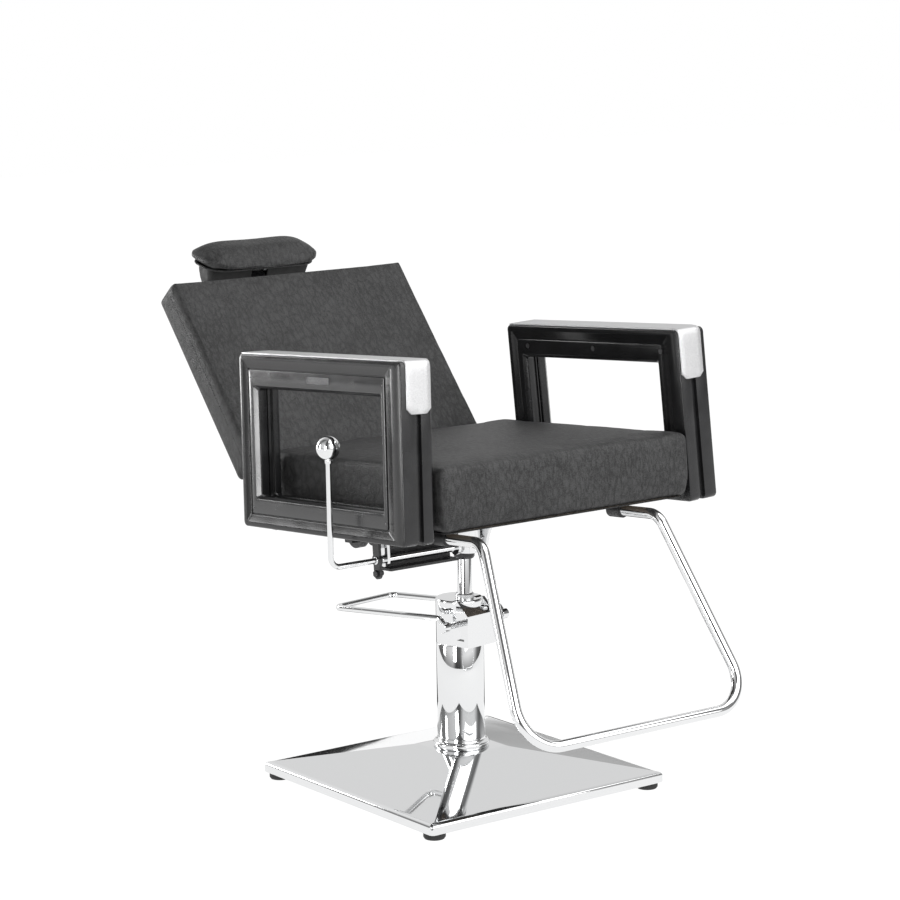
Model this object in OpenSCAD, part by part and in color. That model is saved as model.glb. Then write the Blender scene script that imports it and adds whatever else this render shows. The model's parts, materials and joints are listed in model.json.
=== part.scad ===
// Reclining hydraulic salon chair, in millimetres.
// +Z is up and the sitter faces -Y. The origin is on the floor, under the middle of the square base.
// Left and right are as seen from the front, so the recline lever is on the left, at -X.

/* [Base] */
// side of the square base
base_side = 480; // [420:10:600]
// height of the base's upright rim
base_rim = 16; // [10:1:30]
// rise of the base's pyramid above its rim, if it ran to a point
base_rise = 51; // [30:1:80]
// thickness of the pressed base sheet
base_sheet = 2.5; // [1.5:0.5:4]
// height of the rubber feet
foot_h = 10; // [6:1:20]

/* [Pump] */
// outside diameter of the pump's cover tube
pump_d = 80; // [70:1:110]
// height of the top of the pump above the floor
pump_top = 320; // [280:5:380]
// diameter of the lifting rod
rod_d = 25; // [20:1:32]
// distance of the rod in front of the pump's axis
rod_forward = 15; // [0:1:18]
// angle the pump is turned on the base
pump_turn = 8; // [0:1:45]
// width of the pedal loop, between the tube's centre lines
pedal_w = 137; // [120:1:180]
// distance of the pedal's end bar behind the pump's axis
pedal_reach = 232; // [200:5:300]

/* [Seat] */
// height of the seat's reference plane, at the underside of the arms
seat_h = 468; // [440:1:560]
// angle the seat is raked backwards
seat_rake = 4.3; // [0:0.1:8]
// width of the seat cushion
seat_w = 500; // [460:10:560]
// depth of the seat cushion
seat_d = 483; // [420:1:520]
// distance of the cushion's front behind the origin, negative in front
seat_front = -303; // [-340:1:-260]
// thickness of the seat cushion
seat_t = 104; // [70:1:130]

/* [Arms] */
// distance between the middles of the two arms
arm_span = 575.6; // [540:0.1:640]
// thickness of one arm
arm_t = 56.8; // [45:0.1:70]
// front end of the arms
arm_front = -288; // [-320:1:-240]
// rear end of the arms
arm_rear = 163; // [120:1:200]
// height of the arms without their caps
arm_h = 282; // [240:1:320]
// angle the arms lean towards the sitter
arm_lean = 2.4; // [0:0.1:4]

/* [Backrest] */
// width of the backrest
back_w = 486; // [440:1:500]
// length of the backrest
back_len = 370; // [340:5:480]
// thickness of the backrest
back_t = 57; // [40:1:80]
// angle the backrest leans back from the seat's upright, as stored
back_lean = 36.1; // [10:0.1:55]

/* [Headrest] */
// width of the headrest pad
pad_w = 250; // [200:5:300]
// height of the headrest pad
pad_h = 100; // [80:5:140]
// thickness of the headrest pad
pad_t = 32; // [25:1:60]
// angle of the headrest pad against the backrest's length, as stored
pad_tilt = 52.8; // [0:0.1:70]

/* [Footrest and lever] */
// diameter of the footrest tube
footrest_d = 18; // [16:1:25]
// diameter of the lever's ball knob
knob_d = 38; // [30:1:50]
// diameter of the lever's rod
lever_d = 9; // [8:1:12]

/* [Hidden] */
$fn = 96;
play = 0.05;
gap = 0.3;
bend_thin = 0.03;
bend_lap = 0.3;

base_floor = foot_h;
base_top = foot_h + base_rim;
pad_top = base_top + 40;
pump_r = pump_d / 2;
rod_r = rod_d / 2;
rod_y = -rod_forward;
seam_z = 244;
head_front = -51;
head_back = -18;
head_half = 32;
head_shoulder = 298;
axle_y = -34;
axle_z = 284.5;
pin_r = 5;
eye_half = 6.5;
plunger_x = 22;
plunger_y = -20;
cylinder_r = 18;
piston_z = 160;
bore_r = 14;
collar_z = 389;
hub_z = 401;
hub_h = 39;
spigot_r = 10;

arm_mid = arm_span / 2;
arm_half = arm_t / 2;
window_front = -225;
window_rear = 122;
window_low = 50;
window_high = 226;
groove_outer = 2.6;
groove_inner = -7.6;
cap_t = 2.5;
cap_inner = -27;
cap_outer = 19.5;
cap_drop = 81;
bezel_front = -241;
bezel_rear = 141;
bezel_low = 22;
bezel_high = 257;
arm_screw_y = [-238, -64, 113];
arm_screw_z = 246;

frame_top = 12;
frame_low = -2;
frame_bars = [-178, -120, -43, 40, 122];
arm_bars = [-178, 122];
bar_w = 25;
board_t = 12;

pivot_y = 223.6;
pivot_z = 5.3;
pivot_r = 6;
back_face = -34;
back_low = 80;
back_rear = back_face + back_t;
panel_t = 4;
hinge_x = 203;
hinge_t = 6;
lug_x = hinge_x + hinge_t + 0.5;
lock_arm = 22;
lock_lug_r = 7.5;
lock_x = 195;
lock_pin_r = 4;
lock_z = pivot_z - lock_arm;
lock_y = -43;

shaft_y = -120;
shaft_z = -41;
shaft_r = 6.5;
lever_x = 340;
lever_top_y = -133;
lever_top_z = 148;
crank_r = 28;
crank_lobe = 21;
release_x = 244;
release_z = shaft_z + crank_r;
hanger_x = [-240, -100];
hanger_t = 5;

footrest_r = footrest_d / 2;
footrest_top_x = 178;
footrest_top_z = -9.5;

post_y = 53;
post_t = 6;
post_w = 30;
guide_z = 385;
tilt_z = 522;
box_half = 108;
box_d = 42;
box_low = -17;
box_high = 14;
pad_shift = 8;

chrome = [0.82, 0.83, 0.85];
steel = [0.62, 0.63, 0.65];
black = [0.07, 0.07, 0.075];
hide = [0.09, 0.09, 0.095];
silver = [0.72, 0.73, 0.74];

// ---- frames of the sloping assemblies ----

// Frame of the seat: raked backwards about the origin's X axis, at the underside of the arms.
module in_seat() {
  translate([0, 0, seat_h]) rotate([-seat_rake, 0, 0]) children();
}

// Frame of one arm: x runs outwards from the arm's middle plane, z up from its underside.
module on_arm(side) {
  in_seat()
    translate([side * arm_mid, 0, 0])
      rotate([0, -side * arm_lean, 0])
        mirror([side < 0 ? 1 : 0, 0, 0])
          children();
}

// Frame of the backrest: origin on its hinge, z along its length, y out of its rear.
module in_back() {
  in_seat() translate([0, pivot_y, pivot_z]) rotate([-back_lean, 0, 0]) children();
}

// Frame of the headrest: origin on its tilt pin, z out of the pad's face.
module in_headrest() {
  in_back() translate([0, post_y, tilt_z]) rotate([pad_tilt, 0, 0]) children();
}

// Frame of the pump, turned on the base.
module in_pump() {
  rotate([0, 0, pump_turn]) children();
}

// ---- shapes used by several parts ----

module both_sides() {
  children();
  mirror([1, 0, 0]) children();
}

// Bar along X from x0 to x1.
module x_rod(x0, x1, r) {
  translate([x0, 0, 0]) rotate([0, 90, 0]) cylinder(h = x1 - x0, r = r);
}

// Plate along X from x0 to x1, whose outline is drawn as [y, z].
module x_plate(x0, x1) {
  translate([x0, 0, 0]) rotate([90, 0, 90]) linear_extrude(height = x1 - x0) children();
}

module box(low, high) {
  translate(low) cube(high - low);
}

module rounded_rect(low, high, r) {
  translate([low[0] + r, low[1]]) square([high[0] - low[0] - 2 * r, high[1] - low[1]]);
  translate([low[0], low[1] + r]) square([high[0] - low[0], high[1] - low[1] - 2 * r]);
  for (x = [low[0] + r, high[0] - r], y = [low[1] + r, high[1] - r])
    translate([x, y]) circle(r = r);
}

// Block with all its edges rounded; the four edges along Z can have a larger radius.
module soft_block(low, high, r, corner) {
  intersection() {
    translate([0, 0, low[2]])
      linear_extrude(height = high[2] - low[2])
        rounded_rect([low[0], low[1]], [high[0], high[1]], corner);
    x_plate(low[0], high[0]) rounded_rect([low[1], low[2]], [high[1], high[2]], r);
    translate([0, high[1], 0])
      rotate([90, 0, 0])
        linear_extrude(height = high[1] - low[1])
          rounded_rect([low[0], low[2]], [high[0], high[2]], r);
  }
}

// Hexagonal head or nut along X.
module hex_along_x(x0, x1, across) {
  translate([x0, 0, 0]) rotate([0, 90, 0]) cylinder(h = x1 - x0, d = across / cos(30), $fn = 6);
}

function unit(v) = v / norm(v);

// Rotation that carries X, Y and Z onto the right-handed unit vectors ex, ey and ez.
function turn_to(ex, ey, ez) = [atan2(ey[2], ez[2]), -asin(ex[2]), atan2(ex[1], ex[0])];

// Straight run along Z, then a bend towards X, then the remaining runs in the frame where the bend ends.
// A bend is drawn in by a hair, and each straight run laps over it.
module bent_run(runs, turns, rolls, bends, r) {
  more = len(turns) > 0;
  cylinder(h = runs[0] + (more ? bend_lap : 0), r = r);
  if (more)
    translate([bends[0], 0, runs[0]]) {
      rotate([90, 0, 180]) rotate_extrude(angle = turns[0]) translate([bends[0], 0]) circle(r = r - bend_thin);
      rotate([0, turns[0], 0])
        translate([-bends[0], 0, -bend_lap])
          rotate([0, 0, rolls[0]])
            bent_run(rest(runs), rest(turns), rest(rolls), rest(bends), r);
    }
}

function rest(list) = len(list) < 2 ? [] : [for (i = [1 : len(list) - 1]) list[i]];

// Round bar or tube through the points, bent to the given radius at each inner point.
module bent_rod(points, bends, r) {
  last = len(points) - 1;
  along = [for (i = [0 : last - 1]) unit(points[i + 1] - points[i])];
  turns = [for (i = [1 : last - 1]) acos(along[i - 1] * along[i])];
  normals = [for (i = [1 : last - 1]) unit(cross(along[i - 1], along[i]))];
  leads = [0, for (i = [1 : last - 1]) bends[i - 1] * tan(turns[i - 1] / 2), 0];
  runs = [for (i = [0 : last - 1])
            norm(points[i + 1] - points[i]) - leads[i] - leads[i + 1] + (i > 0 ? bend_lap : 0)];
  rolls = [for (i = [0 : last - 2])
    i == last - 2 ? 0 : atan2(cross(normals[i], normals[i + 1]) * along[i + 1], normals[i] * normals[i + 1])];
  translate(points[0])
    rotate(turn_to(cross(normals[0], along[0]), normals[0], along[0]))
      bent_run(runs, turns, rolls, bends, r);
}

// ---- base ----

module foot_pads() {
  at = base_side / 2 - 20;
  for (x = [-at, at], y = [-at, at])
    translate([x, y, 0]) {
      cylinder(h = 3, r1 = 16, r2 = 18);
      translate([0, 0, 3]) cylinder(h = foot_h - 3, r = 18);
    }
}

// Square pyramid with an upright rim, cut off flat for the pump.
module base_block(side, low, rim_top, flat_top) {
  intersection() {
    union() {
      translate([-side / 2, -side / 2, low]) cube([side, side, rim_top - low]);
      translate([0, 0, rim_top])
        rotate([0, 0, 45])
          cylinder(h = base_rise, r1 = side / sqrt(2), r2 = 0, $fn = 4);
    }
    translate([-side / 2, -side / 2, low]) cube([side, side, flat_top - low]);
  }
}

module base_plate() {
  difference() {
    base_block(base_side, base_floor, base_top, pad_top);
    base_block(base_side - 2 * base_sheet, base_floor - 1, base_top - base_sheet, pad_top - base_sheet);
    base_bolt_places() translate([0, 0, base_floor]) cylinder(h = pad_top, r = 5.3);
  }
}

module base_bolt_places() {
  for (a = [45 : 90 : 315])
    rotate([0, 0, a]) translate([33, 0, 0]) children();
}

module base_ballast() {
  side = base_side - 2 * base_sheet - 1;
  boss_top = pad_top - base_sheet;
  difference() {
    union() {
      translate([-side / 2, -side / 2, base_floor]) cube([side, side, 5]);
      translate([0, 0, base_floor + 5]) cylinder(h = boss_top - base_floor - 5, r = 50);
    }
    translate([0, 0, base_floor - 1]) cylinder(h = boss_top - base_floor - 7, r = 44);
    base_bolt_places() translate([0, 0, base_floor]) cylinder(h = boss_top, r = 5.3);
  }
}

module base_bolts() {
  base_bolt_places() {
    translate([0, 0, pad_top - base_sheet - 15]) cylinder(h = 7, d = 17 / cos(30), $fn = 6);
    translate([0, 0, pad_top - base_sheet - 9]) cylinder(h = 24, r = 5);
  }
}

// ---- pump ----

module pump_foot() {
  difference() {
    union() {
      translate([0, 0, pad_top]) cylinder(h = 3, r1 = pump_r + 5.5, r2 = pump_r + 7);
      translate([0, 0, pad_top + 3]) cylinder(h = 5, r = pump_r + 7);
      translate([0, 0, pad_top + 8]) cylinder(h = 3, r1 = pump_r + 7, r2 = pump_r + 3);
      translate([0, 0, pad_top + 11]) cylinder(h = 7, r1 = pump_r + 3, r2 = pump_r);
      translate([0, 0, pad_top + 18]) cylinder(h = 20, r = pump_r - 2.1);
    }
    base_bolt_places() translate([0, 0, pad_top - 1]) cylinder(h = 15, r = 5 + play);
  }
}

module pump_tube() {
  difference() {
    translate([0, 0, pad_top + 18]) cylinder(h = seam_z - pad_top - 18, r = pump_r);
    translate([0, 0, pad_top + 17]) cylinder(h = seam_z, r = pump_r - 2);
  }
}

module pump_cap() {
  difference() {
    union() {
      translate([0, 0, seam_z + gap]) cylinder(h = pump_top - seam_z - gap - 3, r = pump_r);
      translate([0, 0, pump_top - 3]) cylinder(h = 3, r1 = pump_r, r2 = pump_r - 3);
    }
    translate([0, 0, seam_z]) cylinder(h = pump_top - seam_z - 4, r = pump_r - 2);
    translate([0, rod_y, seam_z]) cylinder(h = pump_top, r = bore_r);
    in_pump()
      box([-head_half - 0.2, -pump_r - 1, seam_z], [head_half + 0.2, head_back + 0.2, pump_top + 1]);
  }
}

module gland_nut() {
  translate([0, rod_y, 0])
    difference() {
      union() {
        translate([0, 0, pump_top]) cylinder(h = 8, r = 15.5);
        translate([0, 0, pump_top + 8]) cylinder(h = 2, r1 = 15.5, r2 = 14);
        translate([0, 0, pump_top - 20]) cylinder(h = 20, r = bore_r - 0.1);
      }
      translate([0, 0, pump_top - 21]) cylinder(h = 40, r = rod_r + play);
    }
}

module lift_cylinder() {
  low = pad_top + 38;
  translate([0, rod_y, 0])
    difference() {
      translate([0, 0, low]) cylinder(h = pump_top - 4 - low, r = cylinder_r);
      translate([0, 0, low - 1]) cylinder(h = pump_top, r = bore_r);
    }
}

module plunger_barrel() {
  in_pump()
    translate([plunger_x, plunger_y, pad_top + 38])
      difference() {
        cylinder(h = 120, r = 6);
        translate([0, 0, 20]) cylinder(h = 120, r = 3 + play);
      }
}

module head_outline(inset) {
  polygon([
    [head_front + inset, seam_z + gap + inset],
    [head_front + inset, head_shoulder - inset / 2],
    [head_back - 8.5, pump_top - 1.4 * inset],
    [head_back + (inset > 0 ? 1 : 0), pump_top - 1.4 * inset],
    [head_back + (inset > 0 ? 1 : 0), seam_z + gap + inset]
  ]);
}

// Folded sheet box in front of the pump, which carries the pedal's two pins.
module pump_head() {
  in_pump()
    difference() {
      x_plate(-head_half, head_half) head_outline(0);
      x_plate(4 - head_half, head_half - 4) head_outline(3);
      translate([0, axle_y, axle_z]) x_rod(-head_half - 1, head_half + 1, pin_r + play);
      box([-head_half - 1, -42, 255], [-head_half + 5, -22, 272]);
      box([6, -47, head_shoulder - 3], [26, -30, pump_top + 1]);
      translate([0, 0, seam_z]) cylinder(h = 8, r = pump_r - 2.5);
      rotate([0, 0, -pump_turn])
        translate([0, rod_y, seam_z]) {
          cylinder(h = pump_top, r = bore_r);
          cylinder(h = pump_top - 3.5 - seam_z, r = cylinder_r + 0.5);
        }
    }
}

module head_screw() {
  in_pump()
    translate([15.7, -40, 0]) {
      translate([0, 0, seam_z + gap + 3]) cylinder(h = 55, r = 3);
      translate([0, 0, 298]) cylinder(h = 7, d = 13 / cos(30), $fn = 6);
    }
}

// ---- pedal ----

module pedal_loop() {
  half = pedal_w / 2;
  eye = [half, axle_y, axle_z];
  knee = [half, axle_y + 12, axle_z + 15];
  heel = [half, pedal_reach, axle_z - 7];
  flip = [-1, 1, 1];
  in_pump()
    difference() {
      union() {
        bent_rod(
          [eye, knee, heel, [for (i = [0 : 2]) heel[i] * flip[i]], [for (i = [0 : 2]) knee[i] * flip[i]],
           [for (i = [0 : 2]) eye[i] * flip[i]]],
          [9, 16, 16, 9], pin_r);
        both_sides() translate([0, axle_y, axle_z]) x_rod(half - eye_half, half + eye_half, 8.5);
      }
      translate([0, axle_y, axle_z]) x_rod(-half - 10, half + 10, pin_r + play);
    }
}

// Two pins from the pump head's cheeks into the pedal's eyes, where they end a little below the face.
// The right one carries the crank that works the plunger.
module pedal_pins() {
  half = pedal_w / 2;
  in_pump() {
    translate([0, axle_y, axle_z]) {
      both_sides() x_rod(head_half - 8, half + eye_half - 2.5, pin_r);
      x_rod(plunger_x - 1.5, head_half - 5, 8);
    }
    x_plate(plunger_x - 1.5, plunger_x + 3)
      polygon([[axle_y, axle_z - 7], [axle_y, axle_z + 7], [plunger_y + 3, axle_z + 2],
               [plunger_y + 3, axle_z - 5], [plunger_y - 6.5, axle_z - 5]]);
  }
}

module plunger() {
  top = axle_z - 5.2;
  in_pump()
    translate([plunger_x, plunger_y, 0]) {
      translate([0, 0, pad_top + 82]) cylinder(h = top - pad_top - 82, r = 3);
      translate([0, 0, top - 4]) cylinder(h = 4, r = 5.4);
    }
}

// Open spring of separate turns between the barrel and the plunger's head.
module plunger_spring() {
  low = pad_top + 38 + 120;
  in_pump()
    translate([plunger_x, plunger_y, low + 1])
      for (i = [0 : 7])
        translate([0, 0, i * 6.6]) rotate_extrude() translate([4.6, 0]) circle(r = 0.8);
}

// ---- lifting rod ----

module piston_rod() {
  translate([0, rod_y, 0]) {
    translate([0, 0, piston_z + 25]) cylinder(h = hub_z - piston_z - 25, r = rod_r);
    translate([0, 0, hub_z]) cylinder(h = hub_h - 4, r = spigot_r);
  }
}

module piston_head() {
  translate([0, rod_y, piston_z])
    difference() {
      cylinder(h = 25, r = bore_r - 0.1);
      translate([0, 0, 9])
        difference() {
          cylinder(h = 6, r = bore_r + 1);
          translate([0, 0, -1]) cylinder(h = 8, r = 11);
        }
    }
}

module piston_seal() {
  translate([0, rod_y, piston_z + 9])
    difference() {
      cylinder(h = 6, r = bore_r - play);
      translate([0, 0, -1]) cylinder(h = 8, r = 11);
    }
}

module thrust_collar() {
  translate([0, rod_y, collar_z])
    difference() {
      union() {
        cylinder(h = 3, r1 = 15.5, r2 = 17.3);
        translate([0, 0, 3]) cylinder(h = hub_z - collar_z - 3, r = 17.3);
      }
      translate([0, 0, -1]) cylinder(h = 20, r = rod_r);
    }
}

// ---- swivel and seat frame ----

saddle_bolt_y = [rod_y - 20, rod_y + 20];
saddle_bolt_z = hub_z + 22;

module swivel_hub() {
  difference() {
    translate([0, 0, hub_z + gap])
      linear_extrude(height = hub_h) {
        translate([-20, rod_y - 12]) square([40, 24]);
        for (y = [-12, 12]) translate([0, rod_y + y]) circle(r = 20);
      }
    translate([0, rod_y, hub_z - 1]) cylinder(h = hub_h, r = spigot_r + play);
    for (y = saddle_bolt_y) translate([0, y, saddle_bolt_z]) x_rod(-30, 30, 4 + play);
  }
}

// Folded saddle under the seat frame, whose two cheeks are bolted to the hub.
module swivel_saddle() {
  difference() {
    in_seat() {
      box([-100, -75, frame_low - 5], [100, 45, frame_low]);
      both_sides()
        x_plate(20.3, 26)
          polygon([[-66, frame_low - 5], [36, frame_low - 5], [14, -60], [-44, -60]]);
    }
    for (y = saddle_bolt_y) translate([0, y, saddle_bolt_z]) x_rod(-30, 30, 4.3);
  }
}

module saddle_bolts() {
  for (y = saddle_bolt_y)
    translate([0, y, saddle_bolt_z]) {
      x_rod(-31, 31, 4);
      hex_along_x(-32.5, -26.2, 13);
      hex_along_x(26.2, 32.5, 13);
    }
}

// Welded frame: two rails and five cross bars, with upright tabs for the arms.
module seat_frame() {
  in_seat() {
    for (x = [-100, 75]) box([x, -185, frame_low], [x + bar_w, 129, frame_top]);
    for (y = frame_bars) {
      half = len(search(y, arm_bars)) > 0 ? arm_mid - arm_half - 2 : 245;
      box([-half, y - bar_w / 2, frame_low], [half, y + bar_w / 2, frame_top]);
    }
  }
  for (side = [-1, 1], y = arm_bars)
    on_arm(side)
      box([-arm_half - 4, y - bar_w / 2 - 2, frame_low - 2], [-arm_half, y + bar_w / 2 + 2, 44]);
}

module seat_board() {
  board_block(0);
}

// The board's block, let out all round by a margin.
module board_block(margin) {
  in_seat()
    box([15 - margin - seat_w / 2, seat_front + 15 - margin, frame_top - margin],
        [seat_w / 2 - 15 + margin, seat_front + seat_d - 15 + margin, frame_top + board_t + margin]);
}

// Padding over the board and round its edges.
module seat_cushion() {
  difference() {
    in_seat()
      soft_block([-seat_w / 2, seat_front, frame_top], [seat_w / 2, seat_front + seat_d, frame_top + seat_t], 12, 14);
    board_block(play);
  }
}

// ---- arms ----

// Rectangular ring from x0 to x1: the arm's outline drawn in by inset, around the window let out by open.
module arm_ring(x0, x1, inset, open, corner) {
  x_plate(x0, x1)
    difference() {
      rounded_rect([arm_front + inset, inset], [arm_rear - inset, arm_h - inset], corner);
      rounded_rect([window_front - open, window_low - open], [window_rear + open, window_high + open], 2);
    }
}

// Hollow outer half, with a core that is set back so that a groove runs round the arm.
module arm_shell() {
  difference() {
    union() {
      arm_ring(groove_outer, arm_half, 0, 0, 8);
      arm_ring(groove_inner, groove_outer, 6, 4, 4);
    }
    arm_ring(groove_inner - 1, 18, 9, 7, 2);
    x_plate(22, arm_half + 1)
      difference() {
        rounded_rect([bezel_front - 13, bezel_low - 13], [bezel_rear + 13, bezel_high + 9], 5);
        rounded_rect([window_front - 3, window_low - 3], [window_rear + 3, window_high + 3], 2);
      }
  }
}

// Inner half, hollow behind a 3 mm wall, with a recessed hole for each screw.
module arm_liner() {
  difference() {
    arm_ring(-arm_half, groove_inner, 0, 0, 8);
    difference() {
      arm_ring(3 - arm_half, groove_inner + 1, 3, 3, 5);
      for (y = arm_screw_y) translate([0, y, arm_screw_z]) x_rod(-arm_half, 0, 8);
    }
    for (y = arm_screw_y) translate([0, y, arm_screw_z]) {
      x_rod(-arm_half - 1, 8 - arm_half, 5);
      x_rod(-arm_half, 0, 2.7);
    }
  }
}

// Glossy frame set into the outer face round the window.
module arm_bezel() {
  x_plate(22, arm_half)
    difference() {
      rounded_rect([bezel_front, bezel_low], [bezel_rear, bezel_high], 4);
      rounded_rect([window_front - 3.1, window_low - 3.1], [window_rear + 3.1, window_high + 3.1], 2);
    }
}

// Satin strip along the top that folds down over the front.
module arm_cap() {
  low = arm_h - cap_drop;
  x_plate(cap_inner, cap_outer)
    rounded_rect([arm_front - cap_t, arm_h], [arm_rear - 4, arm_h + cap_t], 1.2);
  translate([0, arm_front, 0])
    rotate([90, 0, 0])
      linear_extrude(height = cap_t)
        union() {
          rounded_rect([cap_inner, low], [cap_outer, low + 30], 8);
          translate([cap_inner, low + 15]) square([cap_outer - cap_inner, cap_drop - 15 + cap_t / 2]);
        }
}

module arm_screws() {
  for (side = [-1, 1], y = arm_screw_y)
    on_arm(side)
      translate([0, y, arm_screw_z]) {
        x_rod(3 - arm_half, 7.9 - arm_half, 4.6);
        x_rod(7 - arm_half, 4, 2.5);
      }
}

// Blank plate on the left arm.
module name_plate() {
  on_arm(-1)
    x_plate(arm_half, arm_half + 0.8) rounded_rect([-91, 240], [-30, 251], 1.5);
}

// ---- footrest ----

module footrest_loop() {
  socket = [footrest_top_x, -200, footrest_top_z];
  knee = [footrest_top_x, -299, footrest_top_z];
  corner = [230, -443.4, -310.8];
  right = [socket, knee, corner];
  left = [for (p = [corner, knee, socket]) [-p[0], p[1], p[2]]];
  in_seat() bent_rod(concat(right, left), [32, 62, 62, 32], footrest_r);
}

// Two sleeves welded to the first cross bar, which hold the footrest's ends.
module footrest_sockets() {
  bar_front = frame_bars[0] - bar_w / 2;
  in_seat()
    difference() {
      for (side = [-1, 1]) {
        box([side * footrest_top_x - 13, -276, -22], [side * footrest_top_x + 13, bar_front, 1]);
        box([side * footrest_top_x - 13, bar_front - 1, -22],
            [side * footrest_top_x + 13, bar_front + bar_w, frame_low]);
      }
      for (side = [-1, 1])
        translate([side * footrest_top_x, bar_front - 4, footrest_top_z])
          rotate([90, 0, 0]) cylinder(h = 100, r = footrest_r + play);
    }
}

// ---- recline lever and lock ----

module hinge_plates() {
  in_seat()
    both_sides()
      x_plate(hinge_x, hinge_x + hinge_t)
        difference() {
          union() {
            polygon([[60, frame_low], [190, frame_low], [pivot_y, pivot_z + 16], [pivot_y, pivot_z - 16],
                     [pivot_y - 12, pivot_z - 12], [60, frame_low - 8]]);
            translate([pivot_y, pivot_z]) circle(r = 16);
          }
          translate([pivot_y, pivot_z]) circle(r = pivot_r + play);
        }
}

module hanger(x) {
  x_plate(x, x + hanger_t)
    difference() {
      union() {
        translate([shaft_y - 12, shaft_z]) square([24, frame_low - shaft_z]);
        translate([shaft_y, shaft_z]) circle(r = 12);
      }
      translate([shaft_y, shaft_z]) circle(r = shaft_r + play);
    }
}

// The outer and inner bearings of the lever's shaft.
module lever_hangers() {
  in_seat() for (x = hanger_x) hanger(x);
}

// Channel behind the shaft, welded between its bearings and open to the front.
module shaft_channel() {
  x0 = hanger_x[0] + hanger_t;
  x1 = hanger_x[1];
  in_seat()
    difference() {
      box([x0, -132, -60], [x1, -104, -22]);
      box([x0 - 1, -133, -56], [x1 + 1, -107, -25]);
    }
}

// Casting with a bore for the lock rod and one for the release rod.
module lock_body() {
  in_seat()
    difference() {
      union() {
        x_plate(-lock_x - 12, 12 - lock_x) {
          translate([lock_y - 13, lock_z]) square([26, frame_low - lock_z]);
          translate([lock_y, lock_z]) circle(r = 13);
        }
        x_plate(-release_x - 8, -lock_x - 10)
          translate([lock_y - 10, release_z - 6]) square([20, frame_low - release_z + 6]);
        x_plate(-lock_x - 7, 7 - lock_x) {
          translate([12 - 22, -17]) square([44, frame_low + 17]);
          translate([12, -17]) circle(r = 22);
        }
      }
      for (bore = [[-lock_x, lock_z, 5 + play], [-release_x, release_z, 2.5 + play]])
        translate([bore[0], 40, bore[1]]) rotate([90, 0, 0]) cylinder(h = 110, r = bore[2]);
    }
}

module return_spring() {
  in_seat()
    for (i = [0 : 2])
      translate([hanger_x[1] + hanger_t + 3 + 2.4 * i, shaft_y, shaft_z])
        rotate([0, 90, 0]) rotate_extrude() translate([shaft_r + 2, 0]) circle(r = 1);
}

module lever_shaft() {
  in_seat()
    translate([0, shaft_y, shaft_z])
      difference() {
        x_rod(-256, -82, shaft_r);
        x_rod(-257, -200, lever_d / 2 + play);
      }
}

lever_knob_at = [-lever_x, lever_top_y, lever_top_z];

module lever_path(r) {
  bent_rod([[-202, shaft_y, shaft_z], [-lever_x, shaft_y, shaft_z], lever_knob_at + [0, 0.8, -knob_d / 4]],
           [17], r);
}

module lever_rod() {
  in_seat() lever_path(lever_d / 2);
}

module lever_knob() {
  in_seat()
    difference() {
      union() {
        translate(lever_knob_at) sphere(d = knob_d);
        translate(lever_knob_at - [0, -1.3, knob_d / 2 + 5]) cylinder(h = 8, r = 6.5);
      }
      lever_path(lever_d / 2 + play);
    }
}

// Strap on the shaft's outer end: its top pushes the release rod, and a bolt in its lower lobe stops the lever.
module release_crank() {
  in_seat()
    difference() {
      union() {
        x_plate(-254, -249) {
          translate([shaft_y, shaft_z]) circle(r = 11);
          translate([shaft_y - 8, shaft_z - crank_lobe]) square([16, crank_lobe + crank_r]);
          translate([shaft_y, shaft_z - crank_lobe]) circle(r = 9);
          translate([shaft_y, release_z]) circle(r = 8);
        }
        translate([0, shaft_y, release_z]) x_rod(-250, 3 - release_x, 2.5);
        translate([0, shaft_y, shaft_z - crank_lobe]) {
          x_rod(-250, -243, 4);
          hex_along_x(-258, -253, 10);
        }
      }
      translate([0, shaft_y, shaft_z]) x_rod(-260, -240, shaft_r);
    }
}

module release_rod() {
  in_seat()
    difference() {
      union() {
        translate([-release_x, -22, release_z]) rotate([90, 0, 0]) cylinder(h = 91, r = 2.5);
        box([-release_x - 3, shaft_y - 6, release_z - 9], [3 - release_x, shaft_y + 8, release_z + 6]);
      }
      x_plate(-release_x - 4, 4 - release_x)
        rounded_rect([shaft_y - 2.9, release_z - 6.5], [shaft_y + 2.9, release_z + 3], 2.8);
    }
}

module lock_rod() {
  in_seat()
    difference() {
      union() {
        translate([-lock_x, pivot_y - 10, lock_z]) rotate([90, 0, 0]) cylinder(h = pivot_y + 75, r = 5);
        x_plate(-lock_x - 5, 5 - lock_x)
          rounded_rect([pivot_y - 14, lock_z - 8], [pivot_y + 13, lock_z + 12], 5);
      }
      x_plate(-lock_x - 6, 6 - lock_x)
        rounded_rect([pivot_y - 4.4, lock_z - 4.6], [pivot_y + 4.4, lock_z + 7], 4.3);
    }
}

// ---- backrest ----

module back_cushion() {
  in_back()
    soft_block([-back_w / 2, back_face, back_low], [back_w / 2, back_rear - panel_t, back_low + back_len], 12, 14);
}

module back_panel() {
  in_back()
    box([12 - back_w / 2, back_rear - panel_t, back_low + 12],
        [back_w / 2 - 12, back_rear, back_low + back_len - 12]);
}

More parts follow.
